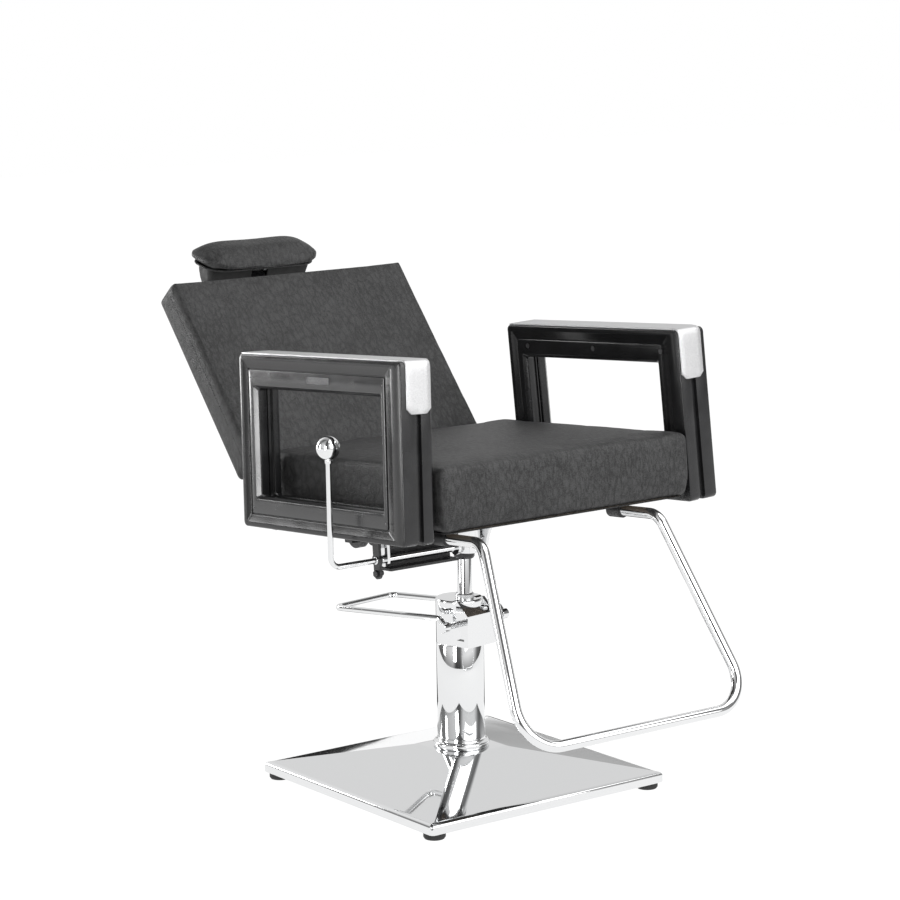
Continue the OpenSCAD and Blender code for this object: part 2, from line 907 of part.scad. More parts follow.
// Two flat bars up the rear of the backrest, each with a lug on the hinge; the left lug works the lock rod.
module back_arms() {
  rear = back_rear;
  in_back()
    difference() {
      union() {
        both_sides() {
          box([lug_x - 17, rear, 5], [lug_x + 6, rear + 6, 270]);
          x_plate(lug_x, lug_x + 6) {
            circle(r = 16);
            polygon([[-12, 10], [rear, 60], [rear + 6, 60], [rear + 6, 5], [12, -10]]);
          }
        }
        x_plate(-lug_x - 6, -lug_x)
          rotate(back_lean) {
            translate([-lock_lug_r, -lock_arm]) square([2 * lock_lug_r, lock_arm]);
            translate([0, -lock_arm]) circle(r = lock_lug_r);
          }
      }
      x_rod(-300, 300, pivot_r);
      rotate([back_lean, 0, 0]) translate([0, 0, -lock_arm]) x_rod(-300, -150, lock_pin_r);
    }
}

module hinge_pins() {
  in_back()
    both_sides() {
      x_rod(hinge_x - 2, lug_x + 8, pivot_r);
      x_rod(hinge_x - 5, hinge_x - 0.5, 9);
      x_rod(lug_x + 6.2, lug_x + 10, 9);
    }
}

module lock_pin() {
  in_back()
    rotate([back_lean, 0, 0])
      translate([0, 0, -lock_arm]) {
        x_rod(-lug_x - 8, 7 - lock_x, lock_pin_r);
        x_rod(5.3 - lock_x, 9 - lock_x, 6.5);
        x_rod(-lug_x - 10, -lug_x - 6.2, 6.5);
      }
}

module headrest_guide() {
  in_back()
    difference() {
      union() {
        box([-26, back_rear, guide_z - 45], [26, post_y + 9, guide_z + 45]);
        box([-45, back_rear, guide_z - 55], [45, back_rear + 5, guide_z + 43]);
      }
      box([-post_w / 2 - 0.2, post_y - post_t / 2 - 0.2, guide_z - 65],
          [post_w / 2 + 0.2, post_y + post_t / 2 + 0.2, guide_z + 65]);
      translate([0, post_y, guide_z]) rotate([-90, 0, 0]) cylinder(h = 20, r = 4 + play);
    }
}

module guide_knob() {
  in_back()
    translate([0, 0, guide_z])
      rotate([-90, 0, 0]) {
        translate([0, 0, post_y + post_t / 2 + 0.3]) cylinder(h = 10, r = 4);
        translate([0, 0, post_y + 9.3]) cylinder(h = 12, r = 13);
      }
}

// ---- headrest ----

module headrest_post() {
  in_back()
    difference() {
      union() {
        box([-post_w / 2, post_y - post_t / 2, guide_z - 95], [post_w / 2, post_y + post_t / 2, tilt_z]);
        translate([0, post_y, tilt_z]) x_rod(-post_w / 2, post_w / 2, 9);
      }
      translate([0, post_y, tilt_z]) x_rod(-20, 20, pin_r + play);
    }
}

module headrest_box() {
  half_d = box_d / 2;
  in_headrest()
    difference() {
      soft_block([-box_half, -half_d, box_low], [box_half, half_d, box_high], 4, 4);
      difference() {
        box([3 - box_half, 3 - half_d, box_low + 3], [box_half - 3, half_d - 3, box_high - 3]);
        both_sides() box([17, -half_d, box_low], [22, half_d, box_high]);
      }
      box([-17, -half_d - 1, box_low - 1], [17, 10, 10]);
      x_rod(-23, 23, pin_r);
    }
}

module headrest_pin() {
  in_headrest() {
    x_rod(-26, 26, pin_r);
    both_sides() x_rod(22.2, 26, 7);
  }
}

module headrest_pad() {
  low = pad_shift - pad_h / 2;
  in_headrest()
    soft_block([-pad_w / 2, low, box_high], [pad_w / 2, low + pad_h, box_high + pad_t], 13, 36);
}

// ---- drawing ----

color([0.05, 0.05, 0.05]) foot_pads();
color(chrome) base_plate();
color(steel) base_ballast();
color(steel) base_bolts();
color(chrome) pump_foot();
color(chrome) pump_tube();
color(chrome) pump_cap();
color(steel) gland_nut();
color(steel) lift_cylinder();
color(steel) plunger_barrel();
color(chrome) pump_head();
color(steel) head_screw();
color(chrome) pedal_loop();
color(steel) pedal_pins();
color(steel) plunger();
color(steel) plunger_spring();
color(chrome) piston_rod();
color(steel) piston_head();
color(black) piston_seal();
color(black) thrust_collar();
color(chrome) swivel_hub();
color(chrome) swivel_saddle();
color(steel) saddle_bolts();
color(black) seat_frame();
color([0.6, 0.45, 0.3]) seat_board();
color(hide) seat_cushion();
color(black) on_arm(-1) arm_shell();  // arm_shell_left
color(black) on_arm(1) arm_shell();  // arm_shell_right
color(black) on_arm(-1) arm_liner();  // arm_liner_left
color(black) on_arm(1) arm_liner();  // arm_liner_right
color(black) on_arm(-1) arm_bezel();  // arm_bezel_left
color(black) on_arm(1) arm_bezel();  // arm_bezel_right
color(silver) on_arm(-1) arm_cap();  // arm_cap_left
color(silver) on_arm(1) arm_cap();  // arm_cap_right
color(steel) arm_screws();
color(silver) name_plate();
color(chrome) footrest_loop();
color(black) footrest_sockets();
color(black) hinge_plates();
color(chrome) lever_hangers();
color(black) shaft_channel();
color(black) lock_body();
color(steel) return_spring();
color(chrome) lever_shaft();
color(chrome) lever_rod();
color(chrome) lever_knob();
color(black) release_crank();
color(steel) release_rod();
color(steel) lock_rod();
color(hide) back_cushion();
color(black) back_panel();
color(black) back_arms();
color(steel) hinge_pins();
color(steel) lock_pin();
color(black) headrest_guide();
color(black) guide_knob();
color(chrome) headrest_post();
color(black) headrest_box();
color(steel) headrest_pin();
color(hide) headrest_pad();
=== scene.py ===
"""Looks of the reclining salon chair: every visible piece, its material, the studio and the camera."""

import json
import math

import bmesh
import bpy
from mathutils import Matrix, Vector


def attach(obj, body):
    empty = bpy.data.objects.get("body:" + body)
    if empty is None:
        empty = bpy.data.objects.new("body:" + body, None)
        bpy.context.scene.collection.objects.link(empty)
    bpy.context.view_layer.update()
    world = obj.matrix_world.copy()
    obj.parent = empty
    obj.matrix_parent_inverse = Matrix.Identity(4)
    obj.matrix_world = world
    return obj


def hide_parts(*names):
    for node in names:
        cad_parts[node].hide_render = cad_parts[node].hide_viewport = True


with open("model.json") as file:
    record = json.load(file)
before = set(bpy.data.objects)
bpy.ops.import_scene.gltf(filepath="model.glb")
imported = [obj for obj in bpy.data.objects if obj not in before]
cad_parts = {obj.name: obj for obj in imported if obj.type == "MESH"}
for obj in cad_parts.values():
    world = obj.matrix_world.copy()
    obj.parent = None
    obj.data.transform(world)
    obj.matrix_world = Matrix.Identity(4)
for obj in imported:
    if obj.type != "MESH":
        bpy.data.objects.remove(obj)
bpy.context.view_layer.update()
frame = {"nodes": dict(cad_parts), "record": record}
MM = 0.001
ARC = 10  # segments in a quarter turn of a rounded corner


# ---- frames of the sloping assemblies; they repeat the CAD's, in metres ----


def shift(x, y, z):
    """A move by millimetres."""
    return Matrix.Translation(Vector((x, y, z)) * MM)


def turn(degrees, axis):
    """A turn about X, Y or Z."""
    return Matrix.Rotation(math.radians(degrees), 4, axis)


POST_Y = 53
TILT_Z = 522

SEAT = shift(0, 0, 468) @ turn(-4.3, "X")
BACK = SEAT @ shift(0, 223.6, 5.3) @ turn(-36.1, "X")
HEAD = BACK @ shift(0, POST_Y, TILT_Z) @ turn(52.8, "X")
PUMP = turn(8, "Z")


def arm_frame(side):
    """x runs outwards from the arm's middle plane, and z up from its underside."""
    return SEAT @ shift(side * 287.8, 0, 0) @ turn(-side * 2.4, "Y") @ Matrix.Scale(side, 4, (1, 0, 0))


# ---- mesh builders, all in millimetres ----


def piece(name, points, faces, place, body, finish, slot, replaces=()):
    """A mesh from points in mm, put in its frame, that rides on a body and may stand for CAD nodes."""
    mesh = bpy.data.meshes.new(name)
    mesh.from_pydata([Vector(p) * MM for p in points], [], faces)
    flipped = place.determinant() < 0
    if flipped:
        mesh.transform(Matrix.Scale(-1, 4, (1, 0, 0)))
        place = place @ Matrix.Scale(-1, 4, (1, 0, 0))
    edit = bmesh.new()
    edit.from_mesh(mesh)
    bmesh.ops.remove_doubles(edit, verts=edit.verts, dist=1e-6)
    bmesh.ops.recalc_face_normals(edit, faces=edit.faces)
    edit.to_mesh(mesh)
    edit.free()
    mesh.validate()
    mesh.shade_smooth()
    mesh.set_sharp_from_angle(angle=math.radians(38))
    mesh.materials.append(finish)
    obj = bpy.data.objects.new(name, mesh)
    bpy.context.scene.collection.objects.link(obj)
    obj.matrix_world = place
    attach(obj, body)
    if replaces:
        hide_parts(*replaces)
    return obj


def bevel(obj, width, segments=3):
    """Rounds the sharp edges of a piece by a width in mm."""
    mod = obj.modifiers.new("edges", "BEVEL")
    mod.width = width * MM
    mod.segments = segments
    mod.limit_method = "ANGLE"
    mod.angle_limit = math.radians(35)
    mod.use_clamp_overlap = True
    mod.harden_normals = True


def loft(rings, loop=False, caps=True):
    """Points and faces of a skin over rings that all have the same number of points."""
    count = len(rings[0])
    points = [p for ring in rings for p in ring]
    faces = []
    steps = len(rings) if loop else len(rings) - 1
    for i in range(steps):
        a, b = i * count, (i + 1) % len(rings) * count
        for k in range(count):
            n = (k + 1) % count
            faces.append((a + k, a + n, b + n, b + k))
    if caps and not loop:
        faces.append(tuple(range(count - 1, -1, -1)))
        faces.append(tuple(range(len(points) - count, len(points))))
    return points, faces


def rounded(low, high, r, steps=ARC):
    """Outline of a rounded rectangle as (u, v) points."""
    outline = []
    for cu, cv, start in (
        (high[0] - r, high[1] - r, 0),
        (low[0] + r, high[1] - r, 90),
        (low[0] + r, low[1] + r, 180),
        (high[0] - r, low[1] + r, 270),
    ):
        for k in range(steps + 1):
            a = math.radians(start + 90 * k / steps)
            outline.append((cu + r * math.cos(a), cv + r * math.sin(a)))
    return outline


def lathe(profile, steps=96):
    """A solid of revolution about Z from (r, z) points, closed by a flat face at each end."""
    rings = []
    for r, z in profile:
        rings.append([(r * math.cos(2 * math.pi * k / steps), r * math.sin(2 * math.pi * k / steps), z)
                      for k in range(steps)])
    return loft(rings)


def filleted(points, r, steps=5):
    """A polyline of 2-D points with every inner corner rounded."""
    out = [points[0]]
    for before, corner, after in zip(points, points[1:], points[2:]):
        before, corner, after = Vector(before), Vector(corner), Vector(after)
        a, b = (before - corner), (after - corner)
        reach = min(r, a.length * 0.45, b.length * 0.45)
        start, end = corner + a.normalized() * reach, corner + b.normalized() * reach
        for k in range(steps + 1):
            t = k / steps
            out.append(tuple(start * (1 - t) ** 2 + corner * 2 * t * (1 - t) + end * t**2))
    out.append(points[-1])
    return out


def bent_path(points, bends, steps=14):
    """Centre line through the points, with a true arc at each inner point."""
    points = [Vector(p) for p in points]
    path = [points[0]]
    for i, r in enumerate(bends, 1):
        into = (points[i] - points[i - 1]).normalized()
        out = (points[i + 1] - points[i]).normalized()
        turned = into.angle(out)
        start = points[i] - into * r * math.tan(turned / 2)
        normal = into.cross(out).normalized()
        centre = start + normal.cross(into) * r
        for k in range(steps + 1):
            path.append(centre + Matrix.Rotation(turned * k / steps, 3, normal) @ (start - centre))
    path.append(points[-1])
    return path


def tube(path, r, sides=40, closed=False):
    """Skin of a round rod along a path, with slightly rounded ends, or of a flat loop closed on itself."""
    rings = []
    side = None
    for i, p in enumerate(path):
        before = path[i - 1] if closed else path[max(i - 1, 0)]
        after = path[(i + 1) % len(path)] if closed else path[min(i + 1, len(path) - 1)]
        ahead = (after - before).normalized()
        if side is None:
            side = ahead.orthogonal().normalized()
        side = (side - ahead * side.dot(ahead)).normalized()
        rings.append((p, side, ahead.cross(side), ahead))
    sections = [(*ring, r, 0.0) for ring in rings]
    if not closed:
        first, last = rings[0], rings[-1]
        sections[0] = (*first, r, 0.12 * r)
        sections[-1] = (*last, r, -0.12 * r)
        sections = [(*first, r * 0.86, 0.0), *sections, (*last, r * 0.86, 0.0)]
    skin = []
    for p, u, v, ahead, radius, along in sections:
        skin.append([tuple(p + ahead * along + (u * math.cos(a) + v * math.sin(a)) * radius)
                     for a in (2 * math.pi * k / sides for k in range(sides))])
    return loft(skin, loop=closed)


def stood(u, v, w, axis):
    """A point that is w along an axis, and u and v across it."""
    return {"X": (w, u, v), "Y": (u, w, v), "Z": (u, v, w)}[axis]


def slab(outline, axis, start, end):
    """A flat plate: a 2-D outline stood on one axis between two heights."""
    return loft([[stood(u, v, w, axis) for u, v in outline] for w in (start, end)])


def spun(profile, axis, centre, steps):
    """A solid of revolution from (r, w) points, about a line along an axis through a centre across it."""
    points, faces = lathe(profile, steps)
    return [stood(centre[0] + u, centre[1] + v, w, axis) for u, v, w in points], faces


def box(low, high):
    """A block between two opposite corners."""
    outline = [(low[0], low[1]), (high[0], low[1]), (high[0], high[1]), (low[0], high[1])]
    return slab(outline, "Z", low[2], high[2])


def join(*shapes):
    """One mesh from several (points, faces) pairs."""
    points, faces = [], []
    for shape_points, shape_faces in shapes:
        base = len(points)
        points += list(shape_points)
        faces += [tuple(base + i for i in face) for face in shape_faces]
    return points, faces


def cut(obj, points, faces, place):
    """Takes a closed shape away from a piece."""
    mesh = bpy.data.meshes.new("cutter")
    mesh.from_pydata([Vector(p) * MM for p in points], [], faces)
    cutter = bpy.data.objects.new("cutter", mesh)
    bpy.context.scene.collection.objects.link(cutter)
    cutter.matrix_world = place
    mod = obj.modifiers.new("cut", "BOOLEAN")
    mod.operation = "DIFFERENCE"
    mod.solver = "EXACT"
    mod.object = cutter
    bpy.context.view_layer.update()
    graph = bpy.context.evaluated_depsgraph_get()
    shape = bpy.data.meshes.new_from_object(obj.evaluated_get(graph))
    obj.modifiers.remove(mod)
    obj.data = shape
    shape.set_sharp_from_angle(angle=math.radians(35))
    bpy.data.objects.remove(cutter)


def share(value, low, high):
    """0 at low, 1 at high, eased at both ends."""
    t = min(1.0, max(0.0, (value - low) / (high - low)))
    return t * t * (3 - 2 * t)


# ---- materials ----


class Finish:
    """A node material built on one Principled shader, with coordinates in the piece's own space."""

    def __init__(self, name, colour, roughness, metallic=0.0, coat=0.0, coat_roughness=0.1):
        self.material = bpy.data.materials.new(name)
        self.material.use_nodes = True
        self.tree = self.material.node_tree
        self.shader = self.tree.nodes["Principled BSDF"]
        self.shader.inputs["Base Color"].default_value = (*colour, 1)
        self.shader.inputs["Roughness"].default_value = roughness
        self.shader.inputs["Metallic"].default_value = metallic
        self.shader.inputs["Coat Weight"].default_value = coat
        self.shader.inputs["Coat Roughness"].default_value = coat_roughness
        self.coords = self.tree.nodes.new("ShaderNodeTexCoord").outputs["Object"]

    def stretched(self, scale):
        """Coordinates stretched by a factor on each axis."""
        node = self.tree.nodes.new("ShaderNodeMapping")
        node.inputs["Scale"].default_value = scale
        self.tree.links.new(self.coords, node.inputs["Vector"])
        return node.outputs["Vector"]

    def noise(self, scale, detail=3.0, stretch=None):
        """Soft noise, finer with scale."""
        node = self.tree.nodes.new("ShaderNodeTexNoise")
        node.inputs["Scale"].default_value = scale
        node.inputs["Detail"].default_value = detail
        node.inputs["Roughness"].default_value = 0.55
        self.tree.links.new(self.stretched(stretch) if stretch else self.coords, node.inputs["Vector"])
        return node.outputs["Fac"]

    def cell_edges(self, scale, stretch):
        """How far a point is from the edge of the cell it lies in."""
        node = self.tree.nodes.new("ShaderNodeTexVoronoi")
        node.feature = "DISTANCE_TO_EDGE"
        node.inputs["Scale"].default_value = scale
        self.tree.links.new(self.stretched(stretch), node.inputs["Vector"])
        return node.outputs["Distance"]

    def twist(self, scale):
        """Slanting bands, as of a laid thread."""
        node = self.tree.nodes.new("ShaderNodeTexWave")
        node.bands_direction = "DIAGONAL"
        node.inputs["Scale"].default_value = scale
        self.tree.links.new(self.coords, node.inputs["Vector"])
        return node.outputs["Fac"]

    def ranged(self, value, low, high, start=0.0, end=1.0):
        """A value between start and end, mapped to low and high."""
        node = self.tree.nodes.new("ShaderNodeMapRange")
        node.inputs["From Min"].default_value = start
        node.inputs["From Max"].default_value = end
        node.inputs["To Min"].default_value = low
        node.inputs["To Max"].default_value = high
        self.tree.links.new(value, node.inputs["Value"])
        return node.outputs["Result"]

    def blended(self, a, b, amount):
        """a + amount * b."""
        node = self.tree.nodes.new("ShaderNodeMath")
        node.operation = "MULTIPLY_ADD"
        self.tree.links.new(b, node.inputs[0])
        node.inputs[1].default_value = amount
        self.tree.links.new(a, node.inputs[2])
        return node.outputs["Value"]

    def tinted(self, value, dark, light, start=0.3, end=0.7):
        """Colour from dark, where the value is at start, to light, where it is at end."""
        node = self.tree.nodes.new("ShaderNodeValToRGB")
        node.color_ramp.elements[0].color = (*dark, 1)
        node.color_ramp.elements[1].color = (*light, 1)
        self.tree.links.new(self.ranged(value, 0, 1, start, end), node.inputs["Fac"])
        self.tree.links.new(node.outputs["Color"], self.shader.inputs["Base Color"])

    def rough(self, value, low, high, start=0.0, end=1.0):
        """Roughness that follows a value."""
        self.tree.links.new(self.ranged(value, low, high, start, end), self.shader.inputs["Roughness"])

    def bump(self, height, strength, depth):
        """Relief that is depth mm high."""
        node = self.tree.nodes.new("ShaderNodeBump")
        node.inputs["Strength"].default_value = strength
        node.inputs["Distance"].default_value = depth * MM
        self.tree.links.new(height, node.inputs["Height"])
        self.tree.links.new(node.outputs["Normal"], self.shader.inputs["Normal"])


def leather():
    """Black vinyl: a fine woven speckle, rows of scales across the hide and faint long streaks."""
    finish = Finish("leather", (0.04, 0.04, 0.041), 0.52)
    finish.shader.inputs["Specular IOR Level"].default_value = 0.24
    speckle = finish.noise(640, 2.0, (0.8, 1.0, 1.0))
    scales = finish.cell_edges(88, (1.0, 0.6, 0.6))
    streaks = finish.noise(330, 4.0, (1.0, 0.2, 0.2))
    drift = finish.noise(16, 3.0)
    edges = finish.ranged(scales, 0.0, 0.4, 0.0, 0.25)
    height = finish.blended(finish.blended(edges, speckle, 1.2), streaks, 0.6)
    finish.bump(height, 0.6, 0.9)
    shade = finish.blended(finish.blended(finish.blended(streaks, speckle, 1.4), drift, 0.5), edges, 0.6)
    finish.tinted(shade, (0.017, 0.017, 0.0172), (0.055, 0.055, 0.0555), 1.3, 1.9)
    finish.rough(finish.blended(streaks, speckle, 0.5), 0.4, 0.6, 0.5, 1.0)
    return finish.material


def chrome():
    """Polished plating with the faint ripple of the metal under it."""
    finish = Finish("chrome", (0.79, 0.795, 0.8), 0.035, metallic=1.0)
    finish.rough(finish.noise(7, 4.0), 0.021, 0.0665, 0.3, 0.7)
    finish.bump(finish.noise(14, 2.0), 0.02, 0.4)
    return finish.material


def turned_steel():
    """Bright steel with fine turning lines."""
    finish = Finish("turned_steel", (0.52, 0.525, 0.53), 0.28, metallic=1.0)
    finish.rough(finish.noise(900, 2.0, (1.0, 1.0, 0.08)), 0.2, 0.42, 0.3, 0.7)
    finish.bump(finish.noise(1400, 2.0, (0.05, 1.0, 1.0)), 0.12, 0.05)
    return finish.material


def blackened_steel():
    """Oiled black screws, worn brighter in places."""
    finish = Finish("blackened_steel", (0.1, 0.1, 0.102), 0.35, metallic=0.9)
    finish.rough(finish.noise(800, 2.0), 0.28, 0.5, 0.3, 0.7)
    finish.tinted(finish.noise(600, 2.0), (0.06, 0.06, 0.062), (0.16, 0.16, 0.162))
    return finish.material


def painted_black():
    """Powder-coated steel with a slight orange peel."""
    finish = Finish("painted_black", (0.017, 0.017, 0.018), 0.38)
    finish.bump(finish.noise(420, 3.0), 0.16, 0.25)
    finish.rough(finish.noise(35, 3.0), 0.3, 0.5, 0.3, 0.7)
    finish.tinted(finish.noise(18, 3.0), (0.012, 0.012, 0.013), (0.024, 0.024, 0.025))
    return finish.material


def moulded_black():
    """Satin moulded plastic with a fine spark-eroded grain and rubbed spots."""
    finish = Finish("moulded_black", (0.012, 0.012, 0.0125), 0.2)
    finish.bump(finish.noise(1500, 3.0), 0.06, 0.1)
    finish.rough(finish.noise(22, 4.0), 0.16, 0.24, 0.3, 0.7)
    finish.tinted(finish.noise(30, 3.0), (0.009, 0.009, 0.0095), (0.017, 0.017, 0.018))
    return finish.material


def glossy_black():
    """Glossy charcoal plastic with a soft lacquer ripple."""
    finish = Finish("glossy_black", (0.02, 0.02, 0.021), 0.22, coat=0.35, coat_roughness=0.14)
    finish.bump(finish.noise(900, 2.0), 0.04, 0.1)
    finish.rough(finish.noise(26, 4.0), 0.18, 0.28, 0.3, 0.7)
    finish.tinted(finish.noise(12, 3.0), (0.016, 0.016, 0.017), (0.026, 0.026, 0.027))
    return finish.material


def satin_silver():
    """Painted silver trim with fine metal flakes."""
    finish = Finish("satin_silver", (0.55, 0.55, 0.555), 0.38, metallic=0.75)
    finish.bump(finish.noise(1300, 2.0), 0.1, 0.08)
    finish.rough(finish.noise(2400, 1.0), 0.32, 0.46, 0.3, 0.7)
    finish.tinted(finish.noise(900, 2.0), (0.5, 0.5, 0.505), (0.6, 0.6, 0.605), 0.4, 0.6)
    return finish.material


def black_rubber():
    """Matt rubber with a fine grain."""
    finish = Finish("black_rubber", (0.014, 0.014, 0.014), 0.66)
    finish.bump(finish.noise(700, 3.0), 0.25, 0.2)
    finish.rough(finish.noise(50, 3.0), 0.55, 0.8, 0.3, 0.7)
    return finish.material


def plywood():
    """Dark-stained board."""
    finish = Finish("plywood", (0.06, 0.045, 0.035), 0.6)
    grain = finish.noise(30, 5.0, (1.0, 0.08, 1.0))
    finish.tinted(grain, (0.035, 0.027, 0.02), (0.09, 0.07, 0.052))
    finish.bump(grain, 0.2, 0.3)
    finish.rough(grain, 0.5, 0.72)
    return finish.material


def stitching():
    """Dull black thread."""
    finish = Finish("stitching", (0.012, 0.012, 0.012), 0.6)
    finish.bump(finish.twist(900), 0.4, 0.1)
    finish.tinted(finish.noise(500, 2.0), (0.008, 0.008, 0.008), (0.03, 0.03, 0.03))
    return finish.material


LEATHER = leather()
CHROME = chrome()
STEEL = turned_steel()
PAINT = painted_black()
MOULDED = moulded_black()
GLOSS = glossy_black()
SILVER = satin_silver()
RUBBER = black_rubber()
PLYWOOD = plywood()
THREAD = stitching()
BLACK_SCREW = blackened_steel()

SLOT_FINISH = {
    "rubber": RUBBER,
    "chrome": CHROME,
    "steel": STEEL,
    "black_metal": PAINT,
    "board": PLYWOOD,
    "hide": LEATHER,
    "shell": MOULDED,
    "gloss": GLOSS,
    "cap": SILVER,
}


def finish_cad_nodes():
    """Every carried-over CAD node takes the finish of its record slot and smooth round faces, except the arm
    screws, which take blackened steel whose dark is painted shade for the holes they sit in.
    """
    for part in frame["record"]["subparts"]:
        mesh = frame["nodes"][part["node"]].data
        mesh.materials.clear()
        # The arm screws are made dark as painted shade: blackened steel that stands in for the shade inside
        # their recessed holes.
        painted_hole_shade = part["node"] == "arm_screws"
        mesh.materials.append(BLACK_SCREW if painted_hole_shade else SLOT_FINISH[part["material_slot"]])
        mesh.shade_smooth()
        mesh.set_sharp_from_angle(angle=math.radians(30))


finish_cad_nodes()


# ---- base and pump ----

BASE_HALF = 240
BASE_FLAT = 52  # half the flat on top that the pump stands on
BASE_TOP = 66
RIM_IN = 3.4
RIM_TOP = 26.8
SLOPE_STEPS = 24
PUMP_R = 40
PUMP_SEAM = 244
PUMP_TOP = 320
ROD_Y = -15
ROD_R = 12.5


def square_ring(half, z, r):
    """Rounded square about the pump's axis."""
    return [(u, v, z) for u, v in rounded((-half, -half), (half, half), r)]


def build_base():
    """Polished base: rolled lower edge, upright rim, soft upper edge and a shallow pyramid."""
    profile = [(BASE_HALF - 3.5, 12.5), (BASE_HALF - 3.5, 10.4), (BASE_HALF - 2.5, 10.0),
               (BASE_HALF - 1, 10.3), (BASE_HALF, 11.6), (BASE_HALF, 22.8), (BASE_HALF - 0.5, 24.4),
               (BASE_HALF - 1.6, 25.7), (BASE_HALF - RIM_IN, RIM_TOP)]
    rise = BASE_TOP - RIM_TOP
    run = BASE_HALF - RIM_IN - BASE_FLAT
    for k in range(1, SLOPE_STEPS + 1):
        t = k / SLOPE_STEPS
        profile.append((BASE_HALF - RIM_IN - run * t, RIM_TOP + rise * t))
    rings = [square_ring(half, z, max(2.5, 5 * half / BASE_HALF)) for half, z in profile]
    piece("base_cover", *loft(rings), Matrix.Identity(4), "base", CHROME, "chrome", ["base_plate"])


def build_pump():
    """Stepped flange, cover tube with its seam, and the polished upper section with a soft top edge."""
    flange = filleted([(0.5, BASE_TOP), (45.2, BASE_TOP), (47, 68.2), (47, 74.2), (45.6, 76.4),
                       (42.5, 77.4), (41, 79.5), (40.3, 83.6), (38.4, 83.6), (38.2, 84.4)], 1.2)
    barrel = [(38.4, 84.2), (39.7, 84.3), (PUMP_R, 84.8), (PUMP_R, PUMP_SEAM - 0.8),
              (39.7, PUMP_SEAM - 0.2), (39.2, PUMP_SEAM)]
    upper = filleted([(39.2, PUMP_SEAM + 0.3), (39.7, PUMP_SEAM + 0.6), (PUMP_R, PUMP_SEAM + 1),
                      (PUMP_R, PUMP_TOP - 2.8), (39.2, PUMP_TOP - 0.9), (37.4, PUMP_TOP),
                      (15.2, PUMP_TOP)], 1)
    place = Matrix.Identity(4)
    piece("pump_flange", *lathe(flange), place, "base", CHROME, "chrome", ["pump_foot"])
    piece("pump_barrel", *lathe(barrel, 128), place, "base", CHROME, "chrome", ["pump_tube"])
    piece("pump_upper", *lathe(upper, 128), place, "base", CHROME, "chrome", ["pump_cap"])


def build_pump_head():
    """Folded box in front of the pump, open for the screw in its sloping top and bored for the piston."""
    low = PUMP_SEAM + 0.4
    outline = [(-51, low), (-51, 298), (-27, PUMP_TOP), (-16, PUMP_TOP), (-16, low)]
    block = slab(outline, "X", -32, 32)
    head = piece("pump_head_box", *block, PUMP, "base", CHROME, "chrome", ["pump_head"])
    cut(head, *slab(rounded((6, -47), (26, -30), 2.5, 5), "Z", 286, 330), PUMP)
    cut(head, *box((-33, -42, 255), (-27, -22, 272)), PUMP)
    bore = spun([(18.5, PUMP_SEAM - 1), (18.5, PUMP_TOP + 1)], "Z", (0, ROD_Y), 64)
    cut(head, *bore, Matrix.Identity(4))
    bevel(head, 1.5, 4)


PEDAL_HALF = 68.5
PEDAL_AXLE = (-34, 284.5)


def build_pedal():
    """Bent wire pedal with a turned eye on each end."""
    side = [(PEDAL_HALF, -32.5, 288), (PEDAL_HALF, -23, 298.2), (PEDAL_HALF, 232, 278)]
    points = side + [(-x, y, z) for x, y, z in reversed(side)]
    wire = tube(bent_path(points, [9, 16, 16, 9]), 5)
    eyes = []
    for x in (-PEDAL_HALF, PEDAL_HALF):
        ring = filleted([(5.1, x - 6.5), (8.1, x - 6.5), (8.6, x - 6), (8.6, x + 6), (8.1, x + 6.5),
                         (5.1, x + 6.5)], 0.5)
        eyes.append(spun(ring, "X", PEDAL_AXLE, 48))
    piece("pedal_wire", *join(wire, *eyes), PUMP, "pedal", CHROME, "chrome", ["pedal_loop"])


def build_lift_rod():
    """Polished rod, its shoulder and the spigot that the seat turns on."""
    rod = [(11.5, 185), (ROD_R, 186), (ROD_R, 399.5), (12, 400.8), (10, 401), (10, 434), (9, 436)]
    piece("lift_rod", *lathe(rod), shift(0, ROD_Y, 0), "lift", CHROME, "chrome", ["piston_rod"])


build_base()
build_pump()
build_pump_head()
build_pedal()
build_lift_rod()


# ---- arms ----

# Rectangles round the arm's face as (front, rear, low, high), from its outline in to its window.
OUTER = (-288, 163, 0, 282)
RIM = (-262, 153, 8, 273)
LEDGE = (-245, 144, 19, 260)
PANEL = (-241, 141, 22, 257)
PANEL_INNER = (-231, 129, 46, 232)
WINDOW = (-225, 122, 50, 226)


def arm_ring(outline, inset, x):
    """Ring round the arm at depth x: one of its rectangles drawn in by an inset."""
    y0, y1, z0, z1 = outline
    low, high = (y0 + inset, z0 + inset), (y1 - inset, z1 - inset)
    corner = 9.0 if outline is OUTER else 4.0
    return [(x, y, z) for y, z in rounded(low, high, max(1.0, corner - inset), 8)]


def arm_rings(section):
    """Rings round the arm from rows of a rectangle, an inset and a depth."""
    return [arm_ring(*row) for row in section]


SHELL_SECTION = [
    (OUTER, 6, -7.6), (OUTER, 6, 2.6), (OUTER, 1, 2.6), (OUTER, 0.3, 2.9), (OUTER, 0, 3.8),
    (OUTER, 0, 25.2), (OUTER, 0.4, 26.8), (OUTER, 1.2, 27.9), (OUTER, 2.6, 28.4),
    (RIM, 0, 28.4), (RIM, 0.7, 28.2), (RIM, 1.3, 27.7),
    (LEDGE, 0, 25.6), (LEDGE, 0.8, 25.2), (LEDGE, 1.4, 24.4), (LEDGE, 1.6, 23.4),
    (PANEL, 0.4, 23.2), (PANEL, 0.4, 15.0),
    (WINDOW, 0, 15.0), (WINDOW, 0, 4.2), (WINDOW, -0.5, 3.2), (WINDOW, -1.6, 2.6), (WINDOW, -4, 2.6),
    (WINDOW, -4, 0.4), (WINDOW, -1.6, 0.0), (WINDOW, -1.6, -2.0), (WINDOW, -4, -2.4), (WINDOW, -4, -7.6),
]
